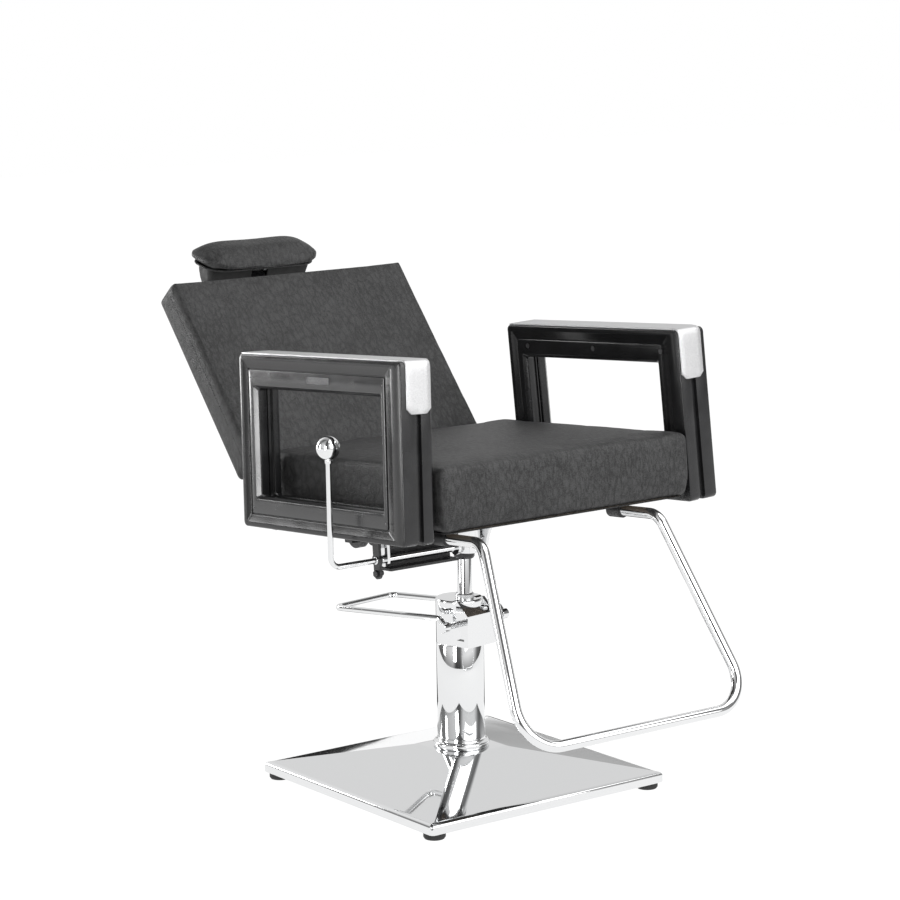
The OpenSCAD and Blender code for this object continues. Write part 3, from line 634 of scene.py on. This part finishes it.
BEZEL_SECTION = [
    (PANEL, 0.8, 15.3), (PANEL, 0.8, 24.0), (PANEL, 1.1, 24.7), (PANEL, 1.8, 25.0),
    (PANEL_INNER, -0.8, 25.0), (PANEL_INNER, 0, 24.8), (PANEL_INNER, 0.7, 24.2),
    (WINDOW, -1.2, 18.6), (WINDOW, -0.4, 17.8), (WINDOW, 0, 16.8), (WINDOW, 0, 15.3),
]
LINER_SECTION = [
    (OUTER, 1.4, -7.9), (OUTER, 0.4, -8.3), (OUTER, 0, -9.2), (OUTER, 0, -25.2), (OUTER, 0.4, -26.8),
    (OUTER, 1.2, -27.9), (OUTER, 2.6, -28.4),
    (RIM, 0, -28.4), (RIM, 0.7, -28.2), (RIM, 1.3, -27.7),
    (LEDGE, 0, -24.6), (LEDGE, 1, -24.0),
    (PANEL, 0, -23.8), (PANEL, 0.4, -25.0), (PANEL, 1.2, -25.4),
    (PANEL_INNER, -0.8, -25.4), (PANEL_INNER, 0.2, -25.0),
    (WINDOW, -1.2, -20.6), (WINDOW, -0.3, -19.8), (WINDOW, 0, -18.8), (WINDOW, 0, -9.4),
    (WINDOW, -0.5, -8.4), (WINDOW, -1.8, -7.9),
]
SCREW_Y = (-238, -64, 113)
SCREW_Z = 246
BEZEL_SCREW_Y = (-235.5, 134.5)
BEZEL_SCREW_Z = (32, 244)
PLATE_LOW, PLATE_HIGH = (-91, 239.5), (-30, 250.5)

CAP_TOP = 283.2
CAP_FRONT = -289.2
CAP_BEND_Y = -262  # the strip turns down from here
CAP_POINT_Z = 209.5  # and its corners are cut off below here
CAP_SIDES = (-26.8, 26.4)
CAP_PROFILE = (
    (-1, -1.2), (-1, 0.2), (-0.985, 0.8), (-0.955, 1.15), (-0.6, 1.3), (0, 1.35), (0.6, 1.3),
    (0.955, 1.15), (0.985, 0.8), (1, 0.2), (1, -1.2),
)


def build_liner(side, body_name):
    """Inner half of an arm, with three recessed screw holes."""
    place = arm_frame(side)
    skin = loft(arm_rings(LINER_SECTION), loop=True)
    stands_for = ["arm_liner_" + body_name]
    liner = piece("arm_inner_" + body_name, *skin, place, "seat", MOULDED, "shell", stands_for)
    for y in SCREW_Y:
        cut(liner, *spun([(5, -30), (5, -20.2)], "X", (y, SCREW_Z), 32), place)


def cap_course():
    """Side view of the silver strip as (y, z) points, from the arm's rear to the strip's point in front."""
    course = [(y, CAP_TOP) for y in (157.6, 153, 60, -60, -180, -240, CAP_BEND_Y)]
    for k in range(9):
        a = math.radians(90 * k / 8)
        course.append((CAP_FRONT + 10 - 10 * math.sin(a), CAP_TOP - 10 + 10 * math.cos(a)))
    return course + [(CAP_FRONT, z) for z in (262, 240, 215, CAP_POINT_Z, 202, 201.2)]


def cap_ring(y, z, out, at_end):
    """Section of the strip at a point of its course, facing out; the two end ones are smaller."""
    low, high = CAP_SIDES
    if y < CAP_BEND_Y:
        high -= 7.2 * min(1, (CAP_BEND_Y - y) / 20)
    if z < CAP_POINT_Z:
        low += CAP_POINT_Z - z
        high -= CAP_POINT_Z - z
    half, mid = (high - low) / 2, (high + low) / 2
    if at_end:
        half -= 0.8
    section = []
    for u, w in CAP_PROFILE:
        lift = w * 0.5 if at_end and w > 0 else w
        section.append((mid + u * half, y + out[0] * lift, z + out[1] * lift))
    return section


def build_cap(side, body_name):
    """Silver strip along the top of an arm, bent down over its front and cut to a point at its corners."""
    course = cap_course()
    last = len(course) - 1
    rings = []
    for i, (y, z) in enumerate(course):
        ahead = (Vector(course[min(i + 1, last)]) - Vector(course[max(i - 1, 0)])).normalized()
        rings.append(cap_ring(y, z, (ahead[1], -ahead[0]), i in (0, last)))
    place = arm_frame(side)
    piece("arm_strip_" + body_name, *loft(rings), place, "seat", SILVER, "cap", ["arm_cap_" + body_name])


def build_bezel_screws(side, body_name):
    """Small domed screws in the corners of the glossy frame."""
    dome = [(0.2, 25.9), (0.9, 25.8), (1.5, 25.4), (1.8, 24.9)]
    heads = [spun(dome, "X", (y, z), 20) for y in BEZEL_SCREW_Y for z in BEZEL_SCREW_Z]
    piece("bezel_screws_" + body_name, *join(*heads), arm_frame(side), "seat", BLACK_SCREW, "steel")


def build_name_plate():
    """Blank plate with a raised edge, on the outer face of the left arm."""
    rings = []
    for inset, x in ((0, 24.6), (0, 25.5), (0.3, 25.8), (1.0, 25.8), (1.3, 25.4)):
        low = (PLATE_LOW[0] + inset, PLATE_LOW[1] + inset)
        high = (PLATE_HIGH[0] - inset, PLATE_HIGH[1] - inset)
        rings.append([(x, y, z) for y, z in rounded(low, high, 1.6 - inset / 2, 4)])
    piece("blank_plate", *loft(rings), arm_frame(-1), "seat", BLACK_SCREW, "cap", ["name_plate"])


def build_arm(side, body_name):
    """One arm: outer shell, glossy frame, inner half, silver strip and small screws."""
    place = arm_frame(side)
    shell = loft(arm_rings(SHELL_SECTION), loop=True)
    bezel = loft(arm_rings(BEZEL_SECTION), loop=True)
    piece("arm_outer_" + body_name, *shell, place, "seat", MOULDED, "shell", ["arm_shell_" + body_name])
    piece("arm_frame_" + body_name, *bezel, place, "seat", GLOSS, "gloss", ["arm_bezel_" + body_name])
    build_liner(side, body_name)
    build_cap(side, body_name)
    build_bezel_screws(side, body_name)


for arm_side, arm_name in ((-1, "left"), (1, "right")):
    build_arm(arm_side, arm_name)
build_name_plate()


# ---- footrest and lever ----


FOOTREST_X = 178
FOOTREST_Z = -9.5
LEVER_X = -340
LEVER_Y = -120
LEVER_Z = -41
KNOB_R = 19


def build_footrest():
    """Bent tube that the feet rest on, and the black sockets it slides into."""
    leg = [(FOOTREST_X, -205, FOOTREST_Z), (FOOTREST_X, -299, FOOTREST_Z), (230, -443.4, -310.8)]
    points = leg + [(-x, y, z) for x, y, z in reversed(leg)]
    bent = tube(bent_path(points, [32, 62, 62, 32], 20), 9, 48)
    piece("footrest_tube", *bent, SEAT, "seat", CHROME, "chrome", ["footrest_loop"])
    sleeve = [(9.3, -212), (11.6, -212), (12.2, -211.4), (12.2, -182)]
    shapes = []
    for x in (-FOOTREST_X, FOOTREST_X):
        shapes.append(spun(sleeve, "Y", (x, FOOTREST_Z), 40))
        shapes.append(box((x - 9, -210, -1), (x + 9, -182, 1)))
    piece("footrest_sleeves", *join(*shapes), SEAT, "seat", PAINT, "black_metal", ["footrest_sockets"])


def build_lever():
    """Bent rod with a ball on its end, turning in the shaft tube."""
    course = [(-202, LEVER_Y, LEVER_Z), (LEVER_X, LEVER_Y, LEVER_Z), (LEVER_X, -132, 131)]
    rod = tube(bent_path(course, [17]), 4.5, 32)
    piece("lever_bar", *rod, SEAT, "lever", CHROME, "chrome", ["lever_rod"])
    ball = [(6.2, -24), (6.5, -23.4), (6.5, -19.4)]
    for k in range(28):
        a = math.radians(-70 + 160 * k / 27)
        ball.append((max(0.05, KNOB_R * math.cos(a)), KNOB_R * math.sin(a)))
    place = SEAT @ shift(LEVER_X, -133, 148)
    piece("lever_ball", *lathe(ball, 64), place, "lever", CHROME, "chrome", ["lever_knob"])
    shaft = filleted([(4.7, -256), (6, -256), (6.5, -255.4), (6.5, -82.6), (6, -82), (0.2, -82)], 0.4)
    sheath = spun(shaft, "X", (LEVER_Y, LEVER_Z), 40)
    piece("lever_tube", *sheath, SEAT, "lever", CHROME, "chrome", ["lever_shaft"])


build_footrest()
build_lever()


# ---- upholstery ----

COVER_FRAMES = 20
BESIDE = 300  # a distance out from the middle that clears every pad
SEAT_LOW, SEAT_HIGH = (-250, -303, 12), (250, 180, 116)
BACK_LOW, BACK_HIGH = (-243, -34, 80), (243, 19, 450)
PAD_LOW, PAD_HIGH = (-119, -49, 14), (119, 53, 46)


def soft_block(low, high, corner, edge, steps=6):
    """A block with rounded corners round Z, and rounded edges above and below."""
    rings = []
    for base, sign in ((low[2], 1), (high[2], -1)):
        arc = []
        for k in range(steps + 1):
            a = math.radians(90 * k / steps)
            inset = edge * (1 - math.sin(a))
            outline = rounded((low[0] + inset, low[1] + inset), (high[0] - inset, high[1] - inset),
                              max(corner - inset, 1))
            arc.append([(u, v, base + sign * edge * (1 - math.cos(a))) for u, v in outline])
        rings += arc if sign > 0 else arc[::-1]
    return loft(rings)


def remesh(obj, voxel):
    """Even quads all over a closed piece."""
    mod = obj.modifiers.new("even", "REMESH")
    mod.mode = "VOXEL"
    mod.voxel_size = voxel * MM
    graph = bpy.context.evaluated_depsgraph_get()
    obj.data = bpy.data.meshes.new_from_object(obj.evaluated_get(graph))
    obj.modifiers.remove(mod)
    obj.data.shade_smooth()


def inflate(obj, most):
    """Swells a closed piece as its padding does under the cover, each point by at most so many mm."""
    rest = [v.co.copy() for v in obj.data.vertices]
    mod = obj.modifiers.new("cover", "CLOTH")
    mod.settings.quality = 5
    mod.settings.use_pressure = True
    mod.settings.uniform_pressure_force = 4
    mod.settings.effector_weights.gravity = 0
    mod.collision_settings.use_collision = False
    scene = bpy.context.scene
    for k in range(1, COVER_FRAMES + 1):
        scene.frame_set(k)
    graph = bpy.context.evaluated_depsgraph_get()
    swollen = [v.co.copy() for v in obj.evaluated_get(graph).data.vertices]
    obj.modifiers.remove(mod)
    scene.frame_set(1)
    limit = most * MM
    for vertex, start, end in zip(obj.data.vertices, rest, swollen):
        move = end - start
        vertex.co = start + move * (limit / (limit + move.length))


def upholstered(name, block, place, voxel, most, shape, body, node):
    """A padded piece: its block remeshed, swollen by simulation, shaped in its frame and subdivided."""
    obj = piece(name, *block, place, body, LEATHER, "hide", [node])
    remesh(obj, voxel)
    inflate(obj, most)
    for vertex in obj.data.vertices:
        vertex.co = Vector(shape(*(vertex.co / MM))) * MM
    mod = obj.modifiers.new("smooth", "SUBSURF")
    mod.levels = 1
    mod.render_levels = 1
    bpy.context.view_layer.update()
    graph = bpy.context.evaluated_depsgraph_get()
    obj.data = bpy.data.meshes.new_from_object(obj.evaluated_get(graph))
    obj.modifiers.remove(mod)
    return obj


def surface_path(obj, points, towards, lift):
    """Points in mm dropped onto a piece along a direction in its frame, and raised off it by a lift."""
    found = []
    for p in points:
        hit, where, normal, _ = obj.ray_cast(Vector(p) * MM, Vector(towards))
        if hit:
            found.append((where / MM + normal * lift, normal))
    return found


def stitches(path, length=3.4, pitch=5.4, r=0.42):
    """Short round-ended threads along a path of (point, normal) pairs."""
    shapes = []
    travelled = 0.0
    due = pitch
    for (a, _), (b, normal) in zip(path, path[1:]):
        run = b - a
        travelled += run.length
        if travelled < due:
            continue
        due += pitch
        along = run.normalized()
        u = normal.normalized()
        v = along.cross(u)
        skin = []
        for offset, grow in ((-0.5, 0.25), (-0.42, 0.8), (-0.3, 1), (0.3, 1), (0.42, 0.8), (0.5, 0.25)):
            centre = b + along * offset * length
            skin.append([tuple(centre + (u * math.sin(t) + v * math.cos(t)) * r * grow)
                         for t in (2 * math.pi * k / 8 for k in range(8))])
        shapes.append(loft(skin))
    return join(*shapes)


def line(a, b, step=0.6):
    """Evenly spaced points from a to b, in mm."""
    a, b = Vector(a), Vector(b)
    count = max(2, int((b - a).length / step))
    return [a.lerp(b, k / count) for k in range(count + 1)]


def seat_shape(x, y, z):
    """Tucks the sides in towards the board, and crowns the top."""
    tuck = 1 - share(z, 8, 50)
    x -= math.copysign(4.5 * tuck * share(abs(x), 200, 250), x)
    y += 4.5 * tuck * share(-y, 253, 303)
    top = share(z, 60, 116)
    crown = math.cos(math.pi * min(1, abs(x) / 250) / 2) * math.cos(math.pi * (y + 61) / 484)
    z += 3.5 * top * max(0, crown)
    return x, y, max(z, 12)


def back_shape(x, y, z):
    """Crowns the front of the backrest, and keeps its rear flat on the panel."""
    front = share(-y, -10, 34)
    crown = math.cos(math.pi * min(1, abs(x) / 243) / 2) * math.sin(math.pi * share(z, 80, 450))
    y -= 3.0 * front * max(0, crown)
    return x, min(y, 22), z


def pad_shape(x, y, z):
    """A cradle for the neck: a thin lip all round, a dome over it, and ends that rise above the middle."""
    end = abs(x) / PAD_HIGH[0]
    depth = abs(y - 2) / 51
    height = (z - PAD_LOW[2]) / (PAD_HIGH[2] - PAD_LOW[2])
    dome = (1 - min(1, end) ** 5) * (1 - min(1, depth) ** 3)
    on_shell = (1 - share(abs(y), 22, 40)) * (1 - share(abs(x), 100, 116))
    lift = 7 * end * end
    bottom = PAD_LOW[2] + lift * (1 - on_shell)
    top = PAD_LOW[2] + 9 + lift + 25 * dome - 4 * share(y, 10, 53)
    return x, y, bottom + height * (top - bottom)


def build_seat():
    """Seat cushion, with two rows of stitches up each side at its front edge."""
    block = soft_block((SEAT_LOW[0] - 1, SEAT_LOW[1] - 1, SEAT_LOW[2]), SEAT_HIGH, 8, 11)
    seat = upholstered("seat_pad", block, SEAT, 6, 4, seat_shape, "seat", "seat_cushion")
    shapes = []
    for x in (-1, 1):
        for y in (-288, -283):
            row = line((x * BESIDE, y, 20), (x * BESIDE, y, 106))
            shapes.append(stitches(surface_path(seat, row, (-x, 0, 0), 0.1)))
    piece("seat_stitches", *join(*shapes), SEAT, "seat", THREAD, "hide")


def build_back():
    """Back cushion, with a row of stitches up each side."""
    block = soft_block((BACK_LOW[0] - 2, BACK_LOW[1] - 2, BACK_LOW[2] - 2),
                       (BACK_HIGH[0] + 2, BACK_HIGH[1] + 5, BACK_HIGH[2] + 3), 4, 3)
    back = upholstered("back_pad", block, BACK, 6, 4, back_shape, "backrest", "back_cushion")
    shapes = []
    for x in (-1, 1):
        row = line((x * BESIDE, -16, 94), (x * BESIDE, -16, 436))
        shapes.append(stitches(surface_path(back, row, (-x, 0, 0), 0.1)))
    piece("back_stitches", *join(*shapes), BACK, "backrest", THREAD, "hide")


def build_headrest():
    """Headrest: its pad, the housing under it with a slot for the post, the piping and the tray."""
    block = soft_block(PAD_LOW, PAD_HIGH, 40, 8)
    upholstered("head_pad", block, HEAD, 4, 3, pad_shape, "headrest", "headrest_pad")
    rings = []
    for z, inset in ((-25, 9), (-24, 8), (-12, 4), (2, 1), (14, 0)):
        outline = rounded((-108 + inset, -21 + inset / 2), (108 - inset, 21 - inset / 2), 9)
        rings.append([(u, v, z) for u, v in outline])
    shell = piece("head_shell", *loft(rings), HEAD, "headrest", RUBBER, "shell", ["headrest_box"])
    cut(shell, *box((-98, -17, -21), (98, 17, 11)), HEAD)
    cut(shell, *box((-17, -30, -30), (17, 10, 10)), HEAD)
    bevel(shell, 1.2, 3)
    rim = rounded((-112, -40), (112, 44), 34)
    piping = tube([Vector((u, v, 13.2)) for u, v in rim], 1.9, 12, closed=True)
    piece("head_piping", *piping, HEAD, "headrest", LEATHER, "hide")
    piece("head_tray", *slab(rim, "Z", 11.4, 15), HEAD, "headrest", MOULDED, "shell")


def build_post():
    """Flat chrome post with a black sleeve on its upper end, and the eye that the headrest tilts on."""
    post = box((-15, POST_Y - 2.4, 290), (15, POST_Y + 2.4, 500))
    bar = piece("post_bar", *post, BACK, "headrest_stem", CHROME, "chrome", ["headrest_post"])
    bevel(bar, 0.8, 3)
    sleeve = box((-15.8, POST_Y - 3.2, 486), (15.8, POST_Y + 3.2, 513))
    collar = piece("post_sleeve", *sleeve, BACK, "headrest_stem", MOULDED, "shell")
    bevel(collar, 1.0, 3)
    eye = spun([(3.2, -15.8), (9, -15.8), (9, 15.8), (3.2, 15.8)], "X", (POST_Y, TILT_Z), 40)
    piece("post_eye", *eye, BACK, "headrest_stem", MOULDED, "shell")


BACK_COVER_LOW, BACK_COVER_HIGH = (-239, 84), (239, 446)


def back_ring(inset, r, y):
    """Ring on the rear of the backrest, drawn in from the edge of its cover."""
    low = (BACK_COVER_LOW[0] + inset, BACK_COVER_LOW[1] + inset)
    high = (BACK_COVER_HIGH[0] - inset, BACK_COVER_HIGH[1] - inset)
    return [(u, y, v) for u, v in rounded(low, high, r)]


def build_back_cover():
    """Moulded cover on the rear of the backrest, with a raised field and its screws."""
    steps = ((1.2, 4.8, 19), (0, 6, 19.4), (0, 6, 21.4), (0.6, 5.4, 22.4), (1.8, 4.2, 23),
             (34, 14, 23), (34, 14, 22.2), (37, 12, 22.0), (37, 12, 22.8))
    rings = [back_ring(*step) for step in steps]
    piece("back_cover", *loft(rings), BACK, "backrest", MOULDED, "shell", ["back_panel"])
    dome = [(3.8, 22.7), (3.8, 23.2), (3.2, 24.3), (2.0, 25.0), (0.3, 25.2)]
    heads = [spun(dome, "Y", (x, z), 24) for x in (-222, -74, 74, 222) for z in (101, 429)]
    piece("back_cover_screws", *join(*heads), BACK, "backrest", STEEL, "steel")


build_seat()
build_back()
build_headrest()
build_post()
build_back_cover()


# ---- under the seat ----


BOLT_Z = 423


def s_curve(start, end, steps=10):
    """Points from start to end whose sideways move eases in and out, as in a pressed flange."""
    points = []
    for k in range(steps + 1):
        t = k / steps
        across = start[0] + (end[0] - start[0]) * share(t, 0, 1)
        points.append((across, start[1] + (end[1] - start[1]) * t))
    return points


def build_saddle():
    """Pressed chrome saddle: a plate under the seat frame and two waisted cheeks on the hub."""
    plate = slab(rounded((-100, -75), (100, 45), 12), "Z", -7, -2)
    outline = s_curve((-66, -7), (-44, -60)) + s_curve((14, -60), (36, -7))
    cheeks = [slab(outline, "X", x, x + 5.7) for x in (20.3, -26)]
    saddle = piece("saddle_bracket", *join(plate, *cheeks), SEAT, "seat", CHROME, "chrome", ["swivel_saddle"])
    bevel(saddle, 0.9, 3)
    dome = [(9, 26.1), (9, 27.4), (7, 27.6), (6.9, 30.4), (6, 31.8), (3.6, 32.3), (3.2, 31.2), (0.2, 31.2)]
    heads = []
    for y in (-35, 5):
        for side in (-1, 1):
            heads.append(spun([(r, side * w) for r, w in dome], "X", (y, BOLT_Z), 32))
    piece("saddle_bolt_heads", *join(*heads), Matrix.Identity(4), "seat", CHROME, "chrome")


def build_cover_hem():
    """The cover folded under the seat board, and the staples that hold it."""
    outer = rounded((-241, -294), (241, 171), 16)
    inner = rounded((-208, -261), (208, 138), 8)
    middle = rounded((-236, -289), (236, 166), 14)
    steps = ((outer, 12.6), (outer, 11.4), (middle, 10.6), (inner, 10.7), (inner, 12.6))
    rings = [[(u, v, z) for u, v in outline] for outline, z in steps]
    piece("cover_hem", *loft(rings, loop=True), SEAT, "seat", LEATHER, "hide")
    staples = []
    for x in range(-210, 211, 35):
        for y in (-277, 154):
            staples.append(box((x - 5, y - 0.5, 10.1), (x + 5, y + 0.5, 10.9)))
    for y in range(-245, 141, 35):
        for x in (-224, 224):
            staples.append(box((x - 0.5, y - 5, 10.1), (x + 0.5, y + 5, 10.9)))
    piece("hem_staples", *join(*staples), SEAT, "seat", STEEL, "steel")


build_saddle()
build_cover_hem()


# ---- camera, light and floor ----

CAMERA_AT = (-2.8860, -3.8617, 1.4062)
CAMERA_AZ = -36.63
CAMERA_EL = 9.87
CAMERA_ROLL = -0.84
FLOOR_HALF = 12
FLAG_Z = 0.002
AROUND = (
    (0.0, 1.0), (0.06, 0.9), (0.1, 0.15), (0.16, 0.12), (0.2, 0.9), (0.3, 0.7), (0.35, 0.25), (0.42, 0.3),
    (0.47, 1.0), (0.54, 1.0), (0.57, 0.85), (0.63, 0.85), (0.7, 1.0), (0.8, 0.2), (0.86, 0.25), (0.92, 1.0),
)
ABOVE = ((0.3, 0.6), (0.5, 0.45), (0.56, 0.95), (0.8, 0.95), (0.9, 0.55), (1.0, 0.45))


def add_camera():
    """Long lens at the photograph's viewing angle."""
    data = bpy.data.cameras.new("camera")
    data.lens = 118.77
    data.sensor_width = 36
    data.clip_end = 50
    camera = bpy.data.objects.new("camera", data)
    bpy.context.scene.collection.objects.link(camera)
    aim = turn(CAMERA_AZ, "Z") @ turn(90 - CAMERA_EL, "X") @ turn(CAMERA_ROLL, "Z")
    camera.matrix_world = Matrix.Translation(CAMERA_AT) @ aim
    bpy.context.scene.camera = camera


def flat_mesh(name, low, high, z):
    """A level rectangle, in metres."""
    mesh = bpy.data.meshes.new(name)
    corners = [(low[0], low[1], z), (high[0], low[1], z), (high[0], high[1], z), (low[0], high[1], z)]
    mesh.from_pydata(corners, [], [(0, 1, 2, 3)])
    return mesh


def add_floor():
    """Pale floor with a glow of its own, so that it runs into the white without an edge."""
    mesh = flat_mesh("floor", (-FLOOR_HALF, -FLOOR_HALF), (FLOOR_HALF, FLOOR_HALF), 0)
    floor = bpy.data.objects.new("floor", mesh)
    finish = Finish("floor_white", (0.1, 0.1, 0.1), 0.8)
    finish.shader.inputs["Specular IOR Level"].default_value = 0.0
    finish.shader.inputs["Emission Color"].default_value = (1, 1, 1, 1)
    finish.shader.inputs["Emission Strength"].default_value = 0.98
    finish.rough(finish.noise(3, 2.0), 0.7, 0.9)
    mesh.materials.append(finish.material)
    bpy.context.scene.collection.objects.link(floor)


def add_flag(name, low, high, bearing):
    """Dark card on the floor, unseen by the camera, that draws a dark line down polished tubes."""
    mesh = flat_mesh(name, low, high, FLAG_Z)
    card = bpy.data.objects.new(name, mesh)
    card.matrix_world = turn(bearing, "Z")
    finish = Finish(name + "_card", (0.04, 0.04, 0.04), 0.9)
    finish.shader.inputs["Specular IOR Level"].default_value = 0.0
    finish.rough(finish.noise(9, 2.0), 0.8, 0.95)
    mesh.materials.append(finish.material)
    bpy.context.scene.collection.objects.link(card)
    card.visible_camera = False
    card.visible_shadow = False
    card.visible_diffuse = False


def add_panel(name, at, aim, size, power, soft):
    """A rectangular light at a point, turned to another; one that isn't soft shows in gloss only."""
    data = bpy.data.lights.new(name, "AREA")
    data.shape = "RECTANGLE"
    data.size, data.size_y = size
    data.energy = power
    light = bpy.data.objects.new(name, data)
    bpy.context.scene.collection.objects.link(light)
    light.location = at
    light.visible_camera = False
    light.visible_diffuse = soft
    light.rotation_euler = (Vector(aim) - Vector(at)).to_track_quat("-Z", "Y").to_euler()


def ramp_of(tree, value, low, high, stops):
    """Colour ramp over a value that runs from low to high, from (share, grey) stops."""
    placed = tree.nodes.new("ShaderNodeMapRange")
    placed.inputs["From Min"].default_value = low
    placed.inputs["From Max"].default_value = high
    tree.links.new(value, placed.inputs["Value"])
    ramp = tree.nodes.new("ShaderNodeValToRGB")
    tree.links.new(placed.outputs["Result"], ramp.inputs["Fac"])
    elements = ramp.color_ramp.elements
    while len(elements) < len(stops):
        elements.new(0.5)
    for element, (position, grey) in zip(elements, stops):
        element.position = position
        element.color = (grey, grey, grey, 1)
    return ramp.outputs["Color"]


def add_world():
    """White to the camera; for light and reflections a pale backdrop, a dimmer front and a grey ceiling."""
    world = bpy.data.worlds.new("studio")
    bpy.context.scene.world = world
    world.use_nodes = True
    tree = world.node_tree
    coords = tree.nodes.new("ShaderNodeTexCoord").outputs["Generated"]
    split = tree.nodes.new("ShaderNodeSeparateXYZ")
    tree.links.new(coords, split.inputs["Vector"])
    bearing = tree.nodes.new("ShaderNodeMath")
    bearing.operation = "ARCTAN2"
    tree.links.new(split.outputs["X"], bearing.inputs[0])
    tree.links.new(split.outputs["Y"], bearing.inputs[1])
    around = ramp_of(tree, bearing.outputs["Value"], -math.pi, math.pi, AROUND)
    above = ramp_of(tree, split.outputs["Z"], -1, 1, ABOVE)
    product = tree.nodes.new("ShaderNodeMix")
    product.data_type = "RGBA"
    product.blend_type = "MULTIPLY"
    product.inputs["Factor"].default_value = 1.0
    tree.links.new(around, product.inputs["A"])
    tree.links.new(above, product.inputs["B"])
    studio = tree.nodes["Background"]
    tree.links.new(product.outputs["Result"], studio.inputs["Color"])
    backdrop = tree.nodes.new("ShaderNodeBackground")
    backdrop.inputs["Color"].default_value = (1, 1, 1, 1)
    chooser = tree.nodes.new("ShaderNodeMixShader")
    seen = tree.nodes.new("ShaderNodeLightPath").outputs["Is Camera Ray"]
    tree.links.new(seen, chooser.inputs["Fac"])
    tree.links.new(studio.outputs["Background"], chooser.inputs[1])
    tree.links.new(backdrop.outputs["Background"], chooser.inputs[2])
    tree.links.new(chooser.outputs["Shader"], tree.nodes["World Output"].inputs["Surface"])


add_camera()
add_floor()
add_world()
for light_name, light_at, light_size, light_power, light_soft in (
    ("left_strip", (-2.28, 1.04, 0.95), (0.4, 1.2), 14, False),
    ("front_left_strip", (-2.1, -1.09, 0.95), (0.5, 1.2), 24, False),
    ("rear_left_strip", (-1.0, 2.2, 0.95), (0.5, 1.2), 20, False),
    ("front_light", (0.6, -3.0, 1.9), (3.4, 2.2), 68, True),
    ("overhead", (0.9, -1.2, 3.2), (3.2, 2.4), 60, True),
):
    add_panel(light_name, light_at, (-0.3, 0, 0.6), light_size, light_power, light_soft)
for flag_name, flag_bearing in (("left_flag", 78), ("right_flag", 36)):
    add_flag(flag_name, (0.45, -0.12), (2.6, 0.12), flag_bearing)
bpy.context.scene.view_settings.view_transform = "Standard"
